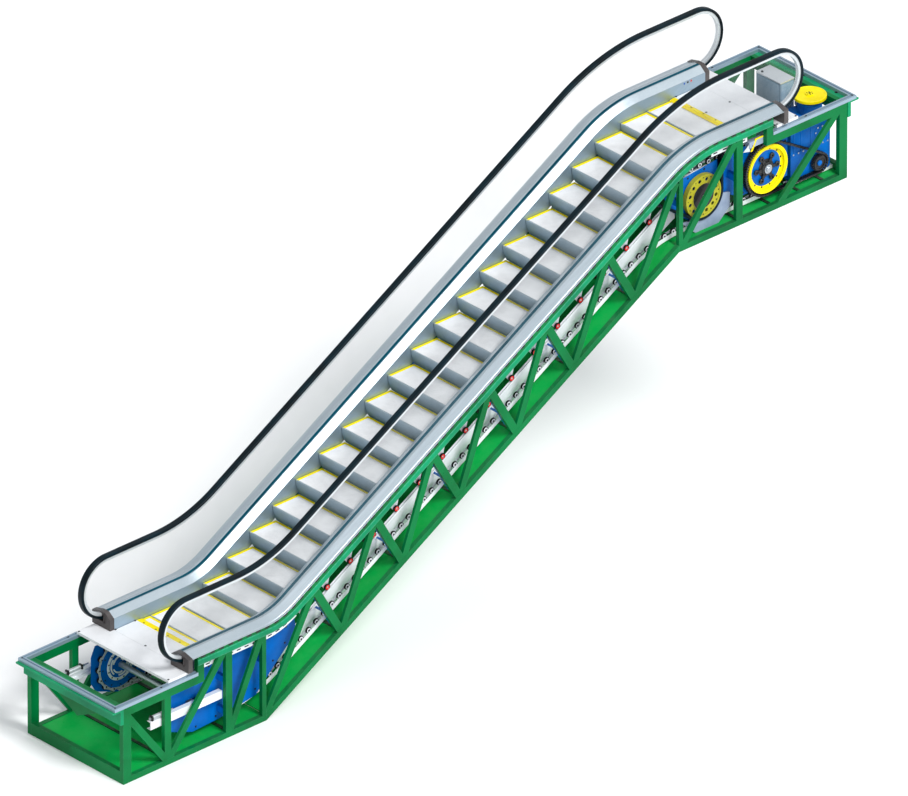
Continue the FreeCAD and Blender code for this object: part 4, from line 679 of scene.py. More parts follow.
def moulded(name, colour, lighter, rough, scale, coat):
    """Moulded plastic or rubber with a fine skin and scuffs."""
    made = Finish(name, Metallic=0.0, Coat_Weight=coat, Coat_Roughness=0.15, Specular_IOR_Level=0.16)
    place = made.place()
    streaks = made.noise(made.stretched(place, (3.0, 40.0, 40.0), SLOPE), 1.0, 4.0, 0.7)
    scuff = made.range(streaks, 0.58, 0.74)
    base = made.mix(made.range(made.noise(place, 3.0, 4.0), 0.35, 0.7), tone(*colour), tone(*lighter))
    pale = tone(*[min(255, c + 26) for c in lighter])
    made.feed("Base Color", made.mix(made.sum("MULTIPLY", scuff, 0.25), base, pale))
    made.feed("Roughness", made.range(scuff, 0.0, 1.0, rough, min(1.0, rough + 0.22)))
    return made.bump(made.noise(place, scale, 2.0), 0.15, 0.0004)


def cleated(name, top, groove, pitch, share, metal, rough, height):
    """Die-cast aluminium with fine grooves along the way, the grooves darkened with painted shade."""
    made = Finish(name, Metallic=metal)
    lines = made.group(CLEAT_LINES, Pitch=pitch, Share=share)
    wear = made.range(made.noise(made.place(), 4.0, 5.0, 0.65), 0.4, 0.7)
    base = made.mix(wear, tone(*top), tone(*[int(c * 0.93) for c in top]))
    # painted shade: the grooves take the darker groove colour
    made.feed("Base Color", made.mix(lines["Mask"], base, tone(*groove)))
    made.feed("Roughness", made.range(wear, 0.0, 1.0, rough, rough + 0.15))
    return made.bump(lines["Height"], 0.4, height)


def riser_metal(name):
    """A step's curved front with painted shade: light at the tread, darkening to a deeper blue-grey at its foot.
    """
    made = Finish(name, Metallic=0.35)
    shade = made.node("ShaderNodeAttribute", attribute_name="depth").outputs["Fac"]
    wear = made.range(made.noise(made.place(), 6.0, 4.0), 0.35, 0.7, 0.92, 1.0)
    # painted shade: the colour goes from light at the tread to a deeper blue-grey lower down
    base = made.mix(made.range(shade, 0.0, 1.0), tone(176, 196, 208), tone(84, 122, 142))
    made.feed("Base Color", made.mix(1.0, base, wear, "MULTIPLY"))
    made.feed("Roughness", made.range(wear, 0.92, 1.0, 0.5, 0.36))
    return made.bump(made.noise(made.place(), 150.0, 2.0), 0.15, 0.0003)


def pane(name):
    """Clear toughened glass with a faint haze."""
    made = Finish(name, Metallic=0.0, IOR=1.45, Specular_IOR_Level=0.5)
    haze = made.noise(made.place(), 2.3, 4.0)
    made.feed("Base Color", made.mix(made.range(haze, 0.35, 0.7), tone(104, 112, 116), tone(134, 142, 146)))
    made.feed("Roughness", made.range(made.noise(made.place(), 14.0, 4.0), 0.3, 0.7, 0.04, 0.12))
    made.feed("Alpha", made.range(haze, 0.3, 0.7, 0.07, 0.10))
    return made.bump(haze, 0.05, 0.001)


BARE = (150, 150, 145)
FINISH_ROWS = (
    (painted, {    # colour, deeper colour, bare metal, wear, patch scale, worn edges with painted highlight, dust, gloss
        "truss_green": ((0, 116, 60), (0, 94, 46), BARE, 0.14, 1.2, 0.25, 0.05, 0.03),
        "rib_green": ((0, 62, 30), (0, 40, 18), BARE, 0.2, 1.2, 0.4, 0.15, 0.03),
        "chord_teal": ((0, 146, 96), (0, 116, 76), BARE, 0.12, 1.2, 0.35, 0.06, 0.12),
        "pan_green": ((0, 166, 72), (0, 150, 62), BARE, 0.08, 0.7, 0.0, 0.03, 0.03),
        "machine_blue": ((0, 104, 192), (0, 86, 166), BARE, 0.12, 1.2, 0.2, 0.05, 0.03),
        "panel_blue": ((0, 104, 192), (0, 86, 166), BARE, 0.1, 2.0, 0.0, 0.05, 0.03),
        "wheel_yellow": ((246, 230, 0), (228, 208, 0), (110, 108, 60), 0.2, 4.0, 0.2, 0.06, 0.03),
        "wheel_olive": ((176, 172, 44), (150, 146, 40), (90, 90, 70), 0.25, 4.0, 0.3, 0.08, 0.03),
        "comb_yellow": ((250, 232, 0), (238, 216, 0), (220, 206, 60), 0.08, 5.0, 0.1, 0.02, 0.03),
        "strip_teal": ((0, 78, 96), (0, 64, 80), (50, 96, 112), 0.06, 2.0, 0.0, 0.0, 0.0),
        "shoe_grey": ((150, 164, 184), (126, 140, 164), BARE, 0.3, 3.0, 0.4, 0.15, 0.03),
        "cabinet_grey": ((140, 164, 180), (118, 146, 164), BARE, 0.08, 2.0, 0.3, 0.04, 0.03)}),
    (brushed, {    # colour, dark lines, roughness, metal, stretch, lean, dust
        "deck_satin": ((204, 214, 220), (172, 188, 198), 0.28, 0.55, (1.5, 200.0, 60.0), SLOPE, 0.02),
        "skirt_satin": ((176, 194, 206), (140, 164, 180), 0.3, 0.7, (1.5, 60.0, 200.0), SLOPE, 0.05),
        "rail_zinc": ((246, 248, 250), (222, 228, 232), 0.42, 0.15, (2.0, 120.0, 120.0), SLOPE, 0.08),
        "guide_satin": ((228, 232, 234), (200, 208, 212), 0.28, 0.6, (2.0, 160.0, 160.0), 0.0, 0.05),
        "trim_anodised": ((168, 190, 204), (136, 160, 178), 0.36, 0.6, (3.0, 140.0, 140.0), 0.0, 0.1),
        "shaft_steel": ((206, 212, 218), (160, 168, 176), 0.25, 0.85, (160.0, 2.0, 160.0), 0.0, 0.1),
        "bolt_zinc": ((214, 216, 214), (168, 172, 172), 0.3, 0.85, (80.0, 80.0, 80.0), 0.0, 0.1),
        "step_casting": ((226, 230, 234), (192, 200, 208), 0.5, 0.2, (30.0, 30.0, 30.0), 0.0, 0.12)}),
    (oiled, {      # colour, rubbed colour, metal, roughness, oil
        "chain_plate": ((196, 202, 208), (232, 236, 238), 0.35, 0.36, 0.25),
        "black_iron": ((6, 7, 9), (24, 26, 30), 0.1, 0.42, 0.6),
        "bolt_dark": ((30, 34, 36), (90, 94, 96), 0.7, 0.36, 0.4)}),
    (moulded, {    # colour, lighter colour, roughness, skin scale, coat
        "handrail_rubber": ((0, 10, 16), (0, 30, 40), 0.4, 90.0, 0.0),
        "cap_grey": ((66, 62, 62), (88, 84, 83), 0.42, 140.0, 0.1),
        "tyre_black": ((6, 6, 8), (20, 20, 22), 0.5, 160.0, 0.0),
        "roller_red": ((206, 34, 34), (228, 62, 54), 0.35, 160.0, 0.3),
        "button_red": ((196, 20, 20), (216, 44, 38), 0.3, 200.0, 0.4),
        "button_blue": ((20, 84, 168), (40, 104, 186), 0.3, 200.0, 0.4),
        "brush_black": ((18, 18, 19), (40, 40, 42), 0.8, 500.0, 0.0)}),
    (cleated, {    # colour, groove colour as painted shade, pitch, groove share, metal, roughness, depth
        "tread_metal": ((250, 250, 250), (212, 216, 220), 0.009, 0.4, 0.04, 0.42, 0.0015),
        "plate_metal": ((248, 248, 249), (216, 220, 224), 0.012, 0.35, 0.05, 0.45, 0.001)}),
    (riser_metal, {"riser_metal": ()}),
    (pane, {"pane": ()}),
)
FINISHES = {name: make(name, *row) for make, rows in FINISH_ROWS for name, row in rows.items()}

FINISH_NODES = {
    "truss_green": """truss_side_near_lower truss_side_near_incline truss_side_near_upper
        truss_side_far_lower truss_side_far_incline truss_side_far_upper truss_ends landing_beams""",
    "chord_teal": "support_angles", "rib_green": "bottom_ribs",
    "pan_green": "bottom_pan_lower bottom_pan_incline bottom_pan_upper",
    "trim_anodised": "pit_trims", "plate_metal": "floor_plates comb_plates", "comb_yellow": "combs",
    "rail_zinc": "step_tracks_near step_tracks_far tension_carriages tension_springs machine_bed",
    "skirt_satin": "skirts", "deck_satin": "deck_near deck_far", "strip_teal": "deck_strips",
    "pane": "glass_panels", "guide_satin": "handrail_guides",
    "panel_blue": """track_brackets lower_track_panels upper_track_panels panel_brackets
        turnaround_guides chain_sprockets""",
    "shaft_steel": "turnaround_shaft main_shaft handrail_shaft",
    "wheel_yellow": "main_drive_wheel flywheel", "wheel_olive": "handrail_wheels",
    "machine_blue": "drive_pinion gearbox motor", "shoe_grey": "handrail_shoes brake_unit",
    "cabinet_grey": "controller_cabinet", "button_red": "control_buttons", "step_casting": "steps",
    "roller_red": "step_rollers", "chain_plate": "step_chains", "cap_grey": "newel_caps",
    "handrail_rubber": "handrail_near handrail_far", "black_iron": "drive_chain",
}
for finish, names in FINISH_NODES.items():
    for node in names.split():
        shape = NODES[node]
        if not shape.material_slots:
            shape.data.materials.append(FINISHES[finish])
        for holder in shape.material_slots:
            holder.material = FINISHES[finish]


# ---- steps ----
TREAD = 0.4
NOSE_SPOTS = [(x, 0.0, z) for x, z in NOSES]


def riser_outline(drop, count, reach=32.0):
    return arc((PITCH, 0.0), PITCH - drop, 180.0, 180.0 + reach, count)


def depth_marks(mesh, span):
    """How far down each corner lies, for the painted shade that darkens the riser towards its foot."""
    marks = mesh.attributes.new("depth", "FLOAT", "POINT")
    marks.data.foreach_set("value", [min(1.0, max(0.0, -v.co.z / span)) for v in mesh.vertices])
    return mesh


def step_pieces():
    def carve(name, form, finish, replaces=()):
        keep_at(name, form, NOSE_SPOTS, finish, replaces=replaces)

    # tread slab, cheeks, ribs and axles
    edge = STEP_EDGE
    forms = [brick((0.004, -edge, -0.032), (TREAD, edge, -0.008), 0.0015, 1)]
    cheek = [(0.0696, -0.2077), (0.014, -0.031), (TREAD - 0.03, -0.031), (0.284, -0.358),
             (0.259, -0.398), (0.219, -0.398)]
    forms += [prism(cheek, y, y + 0.012) for y in (-0.498, -0.25, 0.238, 0.486)]
    forms += [brick((x, -0.486, -0.07), (x + 0.02, 0.486, -0.032), 0.002, 1) for x in (0.18, 0.31)]
    carve("step_castings", together(forms), "step_casting", ("steps",))
    end, bar = 0.5557, 0.012
    axle = lathe([(0.0, -end), (0.0105, -end), (bar, -0.554), (bar, 0.554), (0.0105, end), (0.0, end)],
                 14, CHAIN_PIN)
    stubs = [drum(0.0, 0.010, side * 0.496, side * 0.5117, 12, WHEEL_PIN) for side in (-1, 1)]
    carve("step_axles", together([axle] + stubs), "shaft_steel")

    # tread cleats, with the yellow border on both sides and at the back
    cleat = brick((0.0, 0.0, -0.010), (TREAD - 0.034, 0.0045, 0.0), 0.0006, 1)
    carve("tread_cleats", repeat_row(
        "tread_row", cleat, 103, (0.002, -0.46, 0.0), (0.0, 0.009, 0.0), "tread_metal"), "tread_metal")
    inner = edge - 0.034
    carve("step_borders", together([
        brick((x, y0, -0.010), (TREAD - 0.001, y1, -0.0002), 0.001, 1) for x, y0, y1 in (
            (0.002, -edge + 0.0005, -inner), (0.002, inner, edge - 0.0005), (TREAD - 0.030, -inner, inner))]),
        "comb_yellow")

    # risers: a curved shell under shallow cleats, both darkened towards the foot by painted shade
    shell = prism(riser_outline(0.003, 10) + riser_outline(0.014, 10)[::-1], -edge, edge)
    carve("riser_shells", depth_marks(to_mesh(shell, "riser_shell"), 0.2), "riser_metal")
    tooth = prism(riser_outline(0.0002, 6, 31.0) + riser_outline(0.0035, 6, 31.0)[::-1], 0.0, 0.006)
    row = repeat_row("riser_row", tooth, 83, (0.0, -0.494, 0.0), (0.0, 0.012, 0.0), "riser_metal")
    carve("riser_cleats", depth_marks(row, 0.2), "riser_metal")


def roller_wheel(sides, radius=0.038, half=0.0125):
    """A tyre, a face and a hub for one roller, at the middle of its axle."""
    def even(*profile):
        near = [(radius * share, -half * out) for share, out in profile]
        return near + [(share, -out) for share, out in near[::-1]]
    return (lathe(even((0.8, 1), (0.94, 1), (1, 0.7)), sides),
            lathe(even((0.3, 0.75), (0.72, 0.6), (0.8, 0.85)), sides),
            lathe(even((0.0, 1), (0.22, 1), (0.3, 0.8)), 12))


def step_wheels():
    spots = [(x + WHEEL_PIN[0], side * 0.5245, z + WHEEL_PIN[1]) for x, z in NOSES for side in (-1, 1)]
    tyre, face, hub = roller_wheel(28)
    keep_at("step_wheel_tyres", tyre, spots, "tyre_black")
    keep_at("step_wheel_faces", face, spots, "roller_red", replaces=("step_rollers",))
    keep_at("step_wheel_hubs", hub, spots, "bolt_zinc")


# ---- step chains ----
def chain_paths():
    """The part that carries the steps, and the rest of the loop, at the pins."""
    dx, dz = CHAIN_PIN
    top = rise_line(-STEP_DROP + dz, dz - TAN * dx, CURVE, CURVE, TURN[0], MAIN[0])
    first, last = (NOSES[0][0] + dx, top[0][1]), (NOSES[-1][0] + dx, top[-1][1])
    carry = [first] + [p for p in top if first[0] < p[0] < last[0]] + [last]
    back = rise_line(-0.815, -0.63 / COS, CURVE, CURVE, TURN[0], MAIN[0], top=-0.9)
    rest = [last] + arc(MAIN, MAIN_RADIUS, 90, -90, 24) + back[::-1][1:-1]
    return carry, rest + arc(TURN, TURN_RADIUS, 270, 90, 24) + [first]


def link_plate(length, height, thick):
    """A waisted chain plate between two pins, middle at the origin."""
    half, waist = length / 2, height * 0.36
    outline = arc((half, 0), height / 2, -90, 90, 6) + [(0.0, waist)]
    outline += arc((-half, 0), height / 2, 90, 270, 6) + [(0.0, -waist)]
    return prism(outline, -thick / 2, thick / 2)


def step_chain_pieces():
    pitch = PITCH / 3
    carry, rest = chain_paths()
    carry_count = 3 * (len(NOSES) - 1)
    rest_count = round(lengths(rest)[-1] / pitch)
    rest_pitch = lengths(rest)[-1] / rest_count
    rest_pins = trimmed(rest, rest_pitch, rest_pitch)
    plates, stores = [], ([], [], [])
    for side in (-1, 1):
        for odd in (0, 1):
            for points, count, gap in ((carry, carry_count, pitch), (rest, rest_count, rest_pitch)):
                own = (count - odd + 1) // 2
                start = gap * (0.5 + odd)
                line = trimmed(points, start, max(1e-6, lengths(points)[-1] - start - 2 * gap * (own - 1)))
                form = shifted(link_plate(pitch, 0.036, 0.0045), y=side * (0.5595 if odd else 0.5645))
                plates.append(repeat_along("links", form, line, own, "chain_plate"))
        tyre, face, hub = [shifted(form, y=0.5815) for form in roller_wheel(20)]
        pin = shifted(drum(0.0, 0.011, -0.007, 0.032, 10), y=0.5635)
        forms = [tyre, face, together([hub, pin])]
        if side < 0:
            forms = [other_side(form) for form in forms]
        shapes = [to_mesh(form, "chain_part") for form in forms]
        for points, count in ((carry, carry_count + 1), (rest_pins, rest_count - 1)):
            for shape, finish, store in zip(shapes, ("tyre_black", "rail_zinc", "bolt_dark"), stores):
                store.append(repeat_along("chain_run", shape.copy(), points, count, finish))
    keep("chain_links", plates, replaces=("step_chains",))
    for title, store in zip(("tyres", "faces", "pins"), stores):
        keep("chain_roller_" + title, store)


# ---- handrails ----
def handrail_path():
    """The handrail's centre line, all the way round."""
    level, lift = HANDRAIL_RETURN, 0.045 / COS
    bend, drop_bend = 0.25, 0.18
    points = rise_line(0.873, 0.85, 1.8, 2.6, NEWEL_LOW[0], NEWEL_HIGH[0], pieces=24)[:-1]
    points += arc(NEWEL_HIGH, NEWEL_RADIUS, 90, -90, 30)
    back = rise_line(level, lift, CURVE - level, CURVE, NEWEL_LOW[0], NEWEL_HIGH[0])
    lean = math.radians(35)
    leave = round_point(HANDRAIL_WHEEL, HANDRAIL_WRAP, -125)
    away = (-math.cos(lean), math.sin(lean))
    low_x = WORK_LOW + (level - lift) / TAN
    gap = leave[1] - (FLOOR_LOW + level + TAN * (leave[0] - low_x))
    reach = -gap / (away[1] - TAN * away[0])
    tangent = bend * math.tan((lean + SLOPE) / 2)
    slope_end = (leave[0] + away[0] * reach - tangent * COS, leave[1] + away[1] * reach - tangent * SIN)
    drop = (HANDRAIL_WHEEL[0] + HANDRAIL_WRAP + drop_bend, FLOOR_HIGH + level - drop_bend)
    points += arc(drop, drop_bend, 90, 180, 12)
    points += arc(HANDRAIL_WHEEL, HANDRAIL_WRAP, 0, -125, 26)
    points += arc((slope_end[0] + bend * SIN, slope_end[1] - bend * COS), bend, 55, 120, 10)
    points += [p for p in back if p[0] < slope_end[0] - 0.5][::-1][:-1]
    return points + arc(NEWEL_LOW, NEWEL_RADIUS, 270, 90, 30)[:-1]


def handrail_pieces():
    """A rounded grip with turned-in lips, hollow towards the guide."""
    points = handrail_path()[::-1]
    half, corner = 0.04, 0.013
    outline = []
    for centre_y, start in ((half - corner, 0.0), (-half + corner, 90.0)):
        outline += arc((centre_y, 0.004), corner, start, start + 90, 5)
    lip = [(half, -0.008), (half - 0.006, -0.017), (0.018, -0.017), (0.018, -0.012), (0.028, -0.012),
           (0.030, 0.0)]
    outline += [(-y, h) for y, h in lip] + lip[::-1]
    for side, name in SIDES:
        profile = [(y + side * HANDRAIL_Y, -h) for y, h in outline[::-1]]
        place("handrail_grip_" + name, sweep(points, profile, loop=True), "handrail_rubber", "handrail_rubber",
              replaces=("handrail_" + name,))


# ---- fixings ----
def fixings(name, spots, size, slot, finish="bolt_dark", facing=-1, upright=False, body="truss"):
    """Hexagon heads on washers, one at each spot; facing is the way they look."""
    axis = (0.0, 0.0) if upright else None
    reach = facing * size
    head = [(0.0, 0.0), (size, 0.0), (size, reach * 0.55), (size * 0.75, reach * 0.7), (0.0, reach * 0.7)]
    form = together([lathe(head, 6, upright=axis), drum(0.0, size * 1.5, 0.0, reach * 0.16, 16, upright=axis)])
    keep_at(name, form, spots, finish, body)


def floor_fixings(name, spots, size, slot, **values):
    fixings(name, spots, size, slot, facing=1, upright=True, **values)


def ring_spots(centre, radius, count, y, start=0.0):
    spots = [round_point(centre, radius, start + 360 * i / count) for i in range(count)]
    return [(x, y, z) for x, z in spots]


# ---- landings ----
def comb_pieces():
    """A comb is a heel plate with two raised beads and a row of tapered teeth."""
    heels, teeth, screws = [], [], []
    for start, sign, floor in ((1.4605, 1.0, FLOOR_LOW), (X1 - 1.4595, -1.0, FLOOR_HIGH)):
        for near, far, low, high in (
                (0.0, 0.044, 0.014, 0.002), (0.004, 0.012, 0.002, 0.0005),
                (0.034, 0.040, 0.002, 0.0005)):
            x0, x1 = sorted((start + sign * near, start + sign * far))
            heels.append(brick((x0, -0.4995, floor - low), (x1, 0.4995, floor - high), 0.0006, 1))
        outline = [(start + sign * a, floor - b) for a, b in (
            (0.043, 0.013), (0.043, 0.0025), (0.066, 0.0025), (0.082, 0.007), (0.089, 0.0125), (0.084, 0.0135))]
        form = prism(outline, -0.0021, 0.0021, 0.0005, 1)
        teeth.append(repeat_row("teeth", form, 110, (0.0, -0.4905, 0.0), (0.0, 0.009, 0.0), "comb_yellow"))
        screws += [(start + sign * 0.022, -0.4 + 0.2 * i, floor - 0.002) for i in range(5)]
    place("comb_heels", together(heels), "comb_yellow", "comb_yellow", replaces=("combs",))
    keep("comb_teeth", teeth)
    floor_fixings("comb_screws", screws, 0.007, "black_iron")


def landing_screws():
    """Screws round the floor plates, clear of the steps' way, and in the pit rims."""
    plates, rims = [], []
    for edges, sign, end, floor in (
            ((0.733, 1.026, 1.062, 1.358), 1, X0, FLOOR_LOW), ((0.752, 1.040, 1.076, 1.438), -1, X1, FLOOR_HIGH)):
        plates += [(end + sign * edge, y, floor) for edge in edges for y in (-0.745, -0.5, 0.0, 0.5, 0.745)
                   if abs(y) > 0.7 or edge > 1.05]
    for xs, floor in (((X0 - 0.097, X0 + 0.60), FLOOR_LOW), ((X1 + 0.097, X1 - 0.62), FLOOR_HIGH)):
        rims += [(x, side * 0.776, floor - 0.034) for x in xs for side in (-1, 1)]
    floor_fixings("floor_plate_screws", plates, 0.009, "plate_aluminium")
    floor_fixings("pit_trim_screws", rims, 0.008, "black_iron")


def cap_pieces():
    """Newel caps: a collar and a brush round the handrail."""
    collars, brushes = [], []

    def bars(span, corners):
        return [brick((span[0], ya, za), (span[1], yb, zb), 0.002, 2) for ya, za, yb, zb in corners]

    for x, sign, floor in ((X0 + 0.985, -1, FLOOR_LOW), (X1 - 0.919, 1, FLOOR_HIGH)):
        low, high = floor + HANDRAIL_RETURN - 0.031, floor + HANDRAIL_RETURN + 0.039
        for side in (-1, 1):
            y0, y1, thick = side * HANDRAIL_Y - 0.056, side * HANDRAIL_Y + 0.056, 0.016
            collars += bars(sorted((x, x + sign * 0.010)), (
                (y0 - thick, low - thick, y0, high + 0.006), (y1, low - thick, y1 + thick, high + 0.006),
                (y0 - thick, low - thick, y1 + thick, low)))
            y0, y1, thick = side * HANDRAIL_Y - 0.055, side * HANDRAIL_Y + 0.055, 0.008
            brushes += bars(sorted((x - sign * 0.030, x - sign * 0.010)), (
                (y0, low, y0 + thick, high), (y1 - thick, low, y1, high),
                (y0, low, y1, low + thick), (y0, high - thick, y1, high)))
    place("newel_cap_collars", together(collars), "cap_grey", "cap_plastic")
    place("newel_cap_brushes", together(brushes), "brush_black", "cap_plastic")


# ---- truss ----
def chord_line(height, lift, x0, x1):
    return rise_line(height, -lift / COS, CHORD_CURVE, CURVE, x0, x1)


def truss_pieces():
    """A round face along both upper chords, dark pill plates above it that paint the shade in a row of slots, and
    cable rails with dark pill plates that paint the shade in their slots.
    """
    chord_end = X1 - 1.152
    arch = []
    for i in range(13):
        a = math.pi * i / 12
        arch.append((-0.0005 - 0.0085 * math.sin(a), 0.026 + 0.038 * math.cos(a)))
    arch = arch[::-1] + [(0.0, 0.064), (0.0, -0.012)]
    line = chord_line(0.055, 0.050, X0 + 1.13, chord_end)
    slot_run = trimmed(chord_line(0.140, -0.055, X0 + 1.16, chord_end), 0.05, 0.05)
    rail_end = X0 + 2.75
    low_run = [p for p in chord_line(-0.022, 0.110, X0 + 1.15, rail_end + 0.15) if p[0] < rail_end]
    high_run = [(X1 - 2.05, FLOOR_HIGH - 0.022), (X1 - 1.50, FLOOR_HIGH - 0.022)]
    rounds, slots, rails, hole_shade_plates = [], [], [], []
    for side in (-1, 1):
        rounds.append(sweep(line, [(side * (SIDE - y), h) for y, h in arch]))
        # dark pill plates on the strip above the chord stand in for the shade inside its slots: painted shade
        form = prism(pill(0.026, 0.011), *sorted((side * SIDE, side * (SIDE + 0.0012))))
        slots.append(repeat_along("slots", form, slot_run, int(lengths(slot_run)[-1] / 0.137), "bolt_dark"))
        flat = [(side * y, h) for y, h in (
            (-0.744, 0.028), (-0.738, 0.028), (-0.738, -0.028), (-0.744, -0.028))]
        for run in (low_run, high_run):
            rails.append(sweep(run, flat))
            # dark pill plates on the rail stand in for the shade inside its slots: painted shade
            form = prism(pill(0.024, 0.008), *sorted((side * 0.7435, side * 0.7452)))
            count = int(lengths(run)[-1] / 0.11)
            hole_shade_plates.append(repeat_along("rail_slots", form, trimmed(run, 0.06, 0.06), count, "bolt_dark"))
    place("chord_rounds", together(rounds), "chord_teal", "truss_green", smooth=40.0)
    keep("chord_slots", slots)
    place("cable_rails", together(rails), "rail_zinc", "track_steel")
    keep("cable_rail_slots", hole_shade_plates)


# ---- machine ----
def chain_tooth():
    """One tooth of a chain wheel, pointing out along X."""
    half = [(-0.004, -0.0095), (0.0115, -0.0035), (0.0165, -0.0012)]
    outline = half + [(x, -z) for x, z in half[::-1]]
    return quarter_turned(prism(outline, -0.004, 0.004, 0.0006, 1), "X")


def teeth_pieces(name, centre, radius, count, rows, body):
    keep(name, [repeat_ring("teeth", chain_tooth(), count, radius, (centre[0], y, centre[1]), "black_iron")
                for y in rows], body)


def main_wheel_pieces():
    """The driving wheel: toothed rim, stepped inner rim, web, and a black spoked hub."""
    y0, y1 = -0.715, -0.645
    body = "main_drive"
    rim = lathe([(0.258, y0 + 0.004), (0.264, y0), (0.300, y0)] + counted(
        y1, (0.300, 0.0), (0.258, 0.0), (0.258, -0.020), (0.249, -0.022), (0.249, -0.030), (0.258, -0.032)),
        96, MAIN)
    inner = lathe(counted(
        y1, (0.222, -0.028), (0.2485, -0.028), (0.2485, -0.008), (0.222, -0.014)), 96, MAIN)
    place("main_wheel_rim", together([rim, inner]), "wheel_yellow", "wheel_yellow", body, ("main_drive_wheel",))
    teeth_pieces("main_wheel_teeth", MAIN, 0.300, 66, (-0.695, -0.665), body)
    web = drum(0.106, 0.223, y1 - 0.026, y1 - 0.012, 96, MAIN)
    place("main_wheel_web", web, "machine_blue", "blue_steel", body)
    hub = lathe(counted(y0, (0.0556, 0.006), (0.082, 0.006), (0.086, 0.012)) + counted(
        y1, (0.090, -0.040), (0.112, -0.030), (0.112, -0.002), (0.0556, -0.002)), 64, MAIN)
    place("main_wheel_hub", hub, "black_iron", "black_iron", body)
    # the spoke is drawn a little inwards, so that its ring keeps a radius to turn by
    ring = 0.1
    boss = [(0.012, -0.011), (0.030, -0.011), (0.034, -0.006)]
    boss += [(radius, -depth) for radius, depth in boss[::-1]]
    spoke = together([
        prism([(0.078, -0.026), (0.142, -0.013), (0.142, 0.013), (0.078, 0.026)], -0.011, 0.011, 0.003),
        lathe(boss, 24, (0.160, 0.0))])
    spoke = shifted(quarter_turned(spoke, "X"), x=-ring)
    keep("main_wheel_spokes", [repeat_ring(
        "spokes", spoke, 6, ring, (MAIN[0], y1 - 0.046, MAIN[1]), "black_iron")], body)
    spots = ring_spots(MAIN, 0.236, 12, y1 - 0.028, 15) + ring_spots(MAIN, 0.070, 6, y0 + 0.006)
    fixings("main_wheel_bolts", spots, 0.008, "black_iron", body=body)
    cap = lathe(counted(
        y0, (0.0, -0.022), (0.030, -0.022), (0.034, -0.018), (0.034, 0.004), (0.0, 0.004)), 40, MAIN)
    place("main_shaft_cap", cap, "shaft_steel", "black_iron", body)


def drive_chain_path(extra):
    """The line round both wheels, a little outside their pitch lines."""
    big, small = 0.3205 + extra, 0.1065 + extra
    dx, dz = PINION[0] - MAIN[0], PINION[1] - MAIN[1]
    lean = math.degrees(math.atan2(dz, dx))
    spread = math.degrees(math.acos((big - small) / math.hypot(dx, dz)))
    points = arc(MAIN, big, lean + spread, lean - spread + 360, 60)
    points += arc(PINION, small, lean - spread, lean + spread, 24)
    return points + points[:1]


def drive_chain_pieces():
    """A duplex roller chain: two rows of rollers between three rows of plates."""
    path = drive_chain_path(0.013)
    total = lengths(path)[-1]
    count = 2 * round(total / DRIVE_PITCH / 2)
    pitch = total / count
    pins = trimmed(path, 0.0, pitch)
    plates = []
    for odd in (0, 1):
        line = trimmed(path, pitch * (0.5 + odd), max(1e-6, pitch * (1.5 - odd)))
        for y, inward in ((-0.707, 1), (-0.680, 0), (-0.653, -1)):
            form = shifted(link_plate(pitch, 0.025, 0.004), y=y + inward * (0.002 if odd else -0.002))
            plates.append(repeat_along("drive_links", form, line, count // 2, "black_iron"))
    rollers = [repeat_along(
        "drive_rollers", shifted(drum(0.0, 0.0095, -0.0105, 0.0105, 12), y=y), pins, count, "black_iron")
        for y in DRIVE_ROWS]
    pin = lathe([(0.0, -0.0098), (0.004, -0.0098), (0.0052, -0.0085), (0.0052, 0.045), (0.0, 0.045)], 10)
    keep("drive_chain_links", plates, replaces=("drive_chain",))
    keep("drive_chain_rollers", rollers)
    pins = repeat_along("drive_pins", shifted(pin, y=-0.7), pins, count, "bolt_dark")
    keep("drive_chain_pins", [pins])


def pinion_pieces():
    """Chain wheel on the gearbox: black toothed rim round a blue hub, with four bolts."""
    y0, y1, back = -0.710, -0.650, -0.6314
    rim = lathe([(0.072, y0), (0.086, y0), (0.088, y0 + 0.003), (0.088, y1), (0.034, y1), (0.034, y0 + 0.014),
                 (0.072, y0 + 0.010)], 72, PINION)
    place("pinion_rim", rim, "black_iron", "black_iron", "pinion", ("drive_pinion",))
    teeth_pieces("pinion_teeth", PINION, 0.088, 24, DRIVE_ROWS, "pinion")
    hub = lathe([(0.0, y0 - 0.003), (0.022, y0 - 0.003), (0.032, y0 + 0.002), (0.032, back), (0.0, back)],
                48, PINION)
    place("pinion_hub", hub, "machine_blue", "blue_steel", "pinion")
    fixings("pinion_bolts", ring_spots(PINION, 0.052, 4, y0 + 0.0125, 45), 0.008, "black_iron", body="pinion")


def handrail_wheel_pieces():
    """Hub covers, shaft ends and bolts of the two handrail wheels."""
    body = "handrail_drive"
    for name, finish, sides, profile in (
            ("handrail_wheel_covers", "black_iron", 80, (
                (0.0, 0.0), (0.150, 0.0), (0.158, 0.0018), (0.158, 0.0024), (0.0, 0.0024))),
            ("handrail_shaft_ends", "shaft_steel", 32, (
                (0.0, -0.006), (0.016, -0.006), (0.020, -0.002), (0.020, 0.001), (0.0, 0.001)))):
        forms = [lathe([(radius, side * (0.695 - inward)) for radius, inward in profile], sides, HANDRAIL_WHEEL)
                 for side in (-1, 1)]
        place(name, together(forms), finish, "black_iron", body, smooth=40.0)
    for side, name in SIDES:
        spots = ring_spots(HANDRAIL_WHEEL, 0.235, 12, side * 0.687)
        fixings("handrail_wheel_bolts_" + name, spots, 0.006, "wheel_yellow", facing=side, body=body)


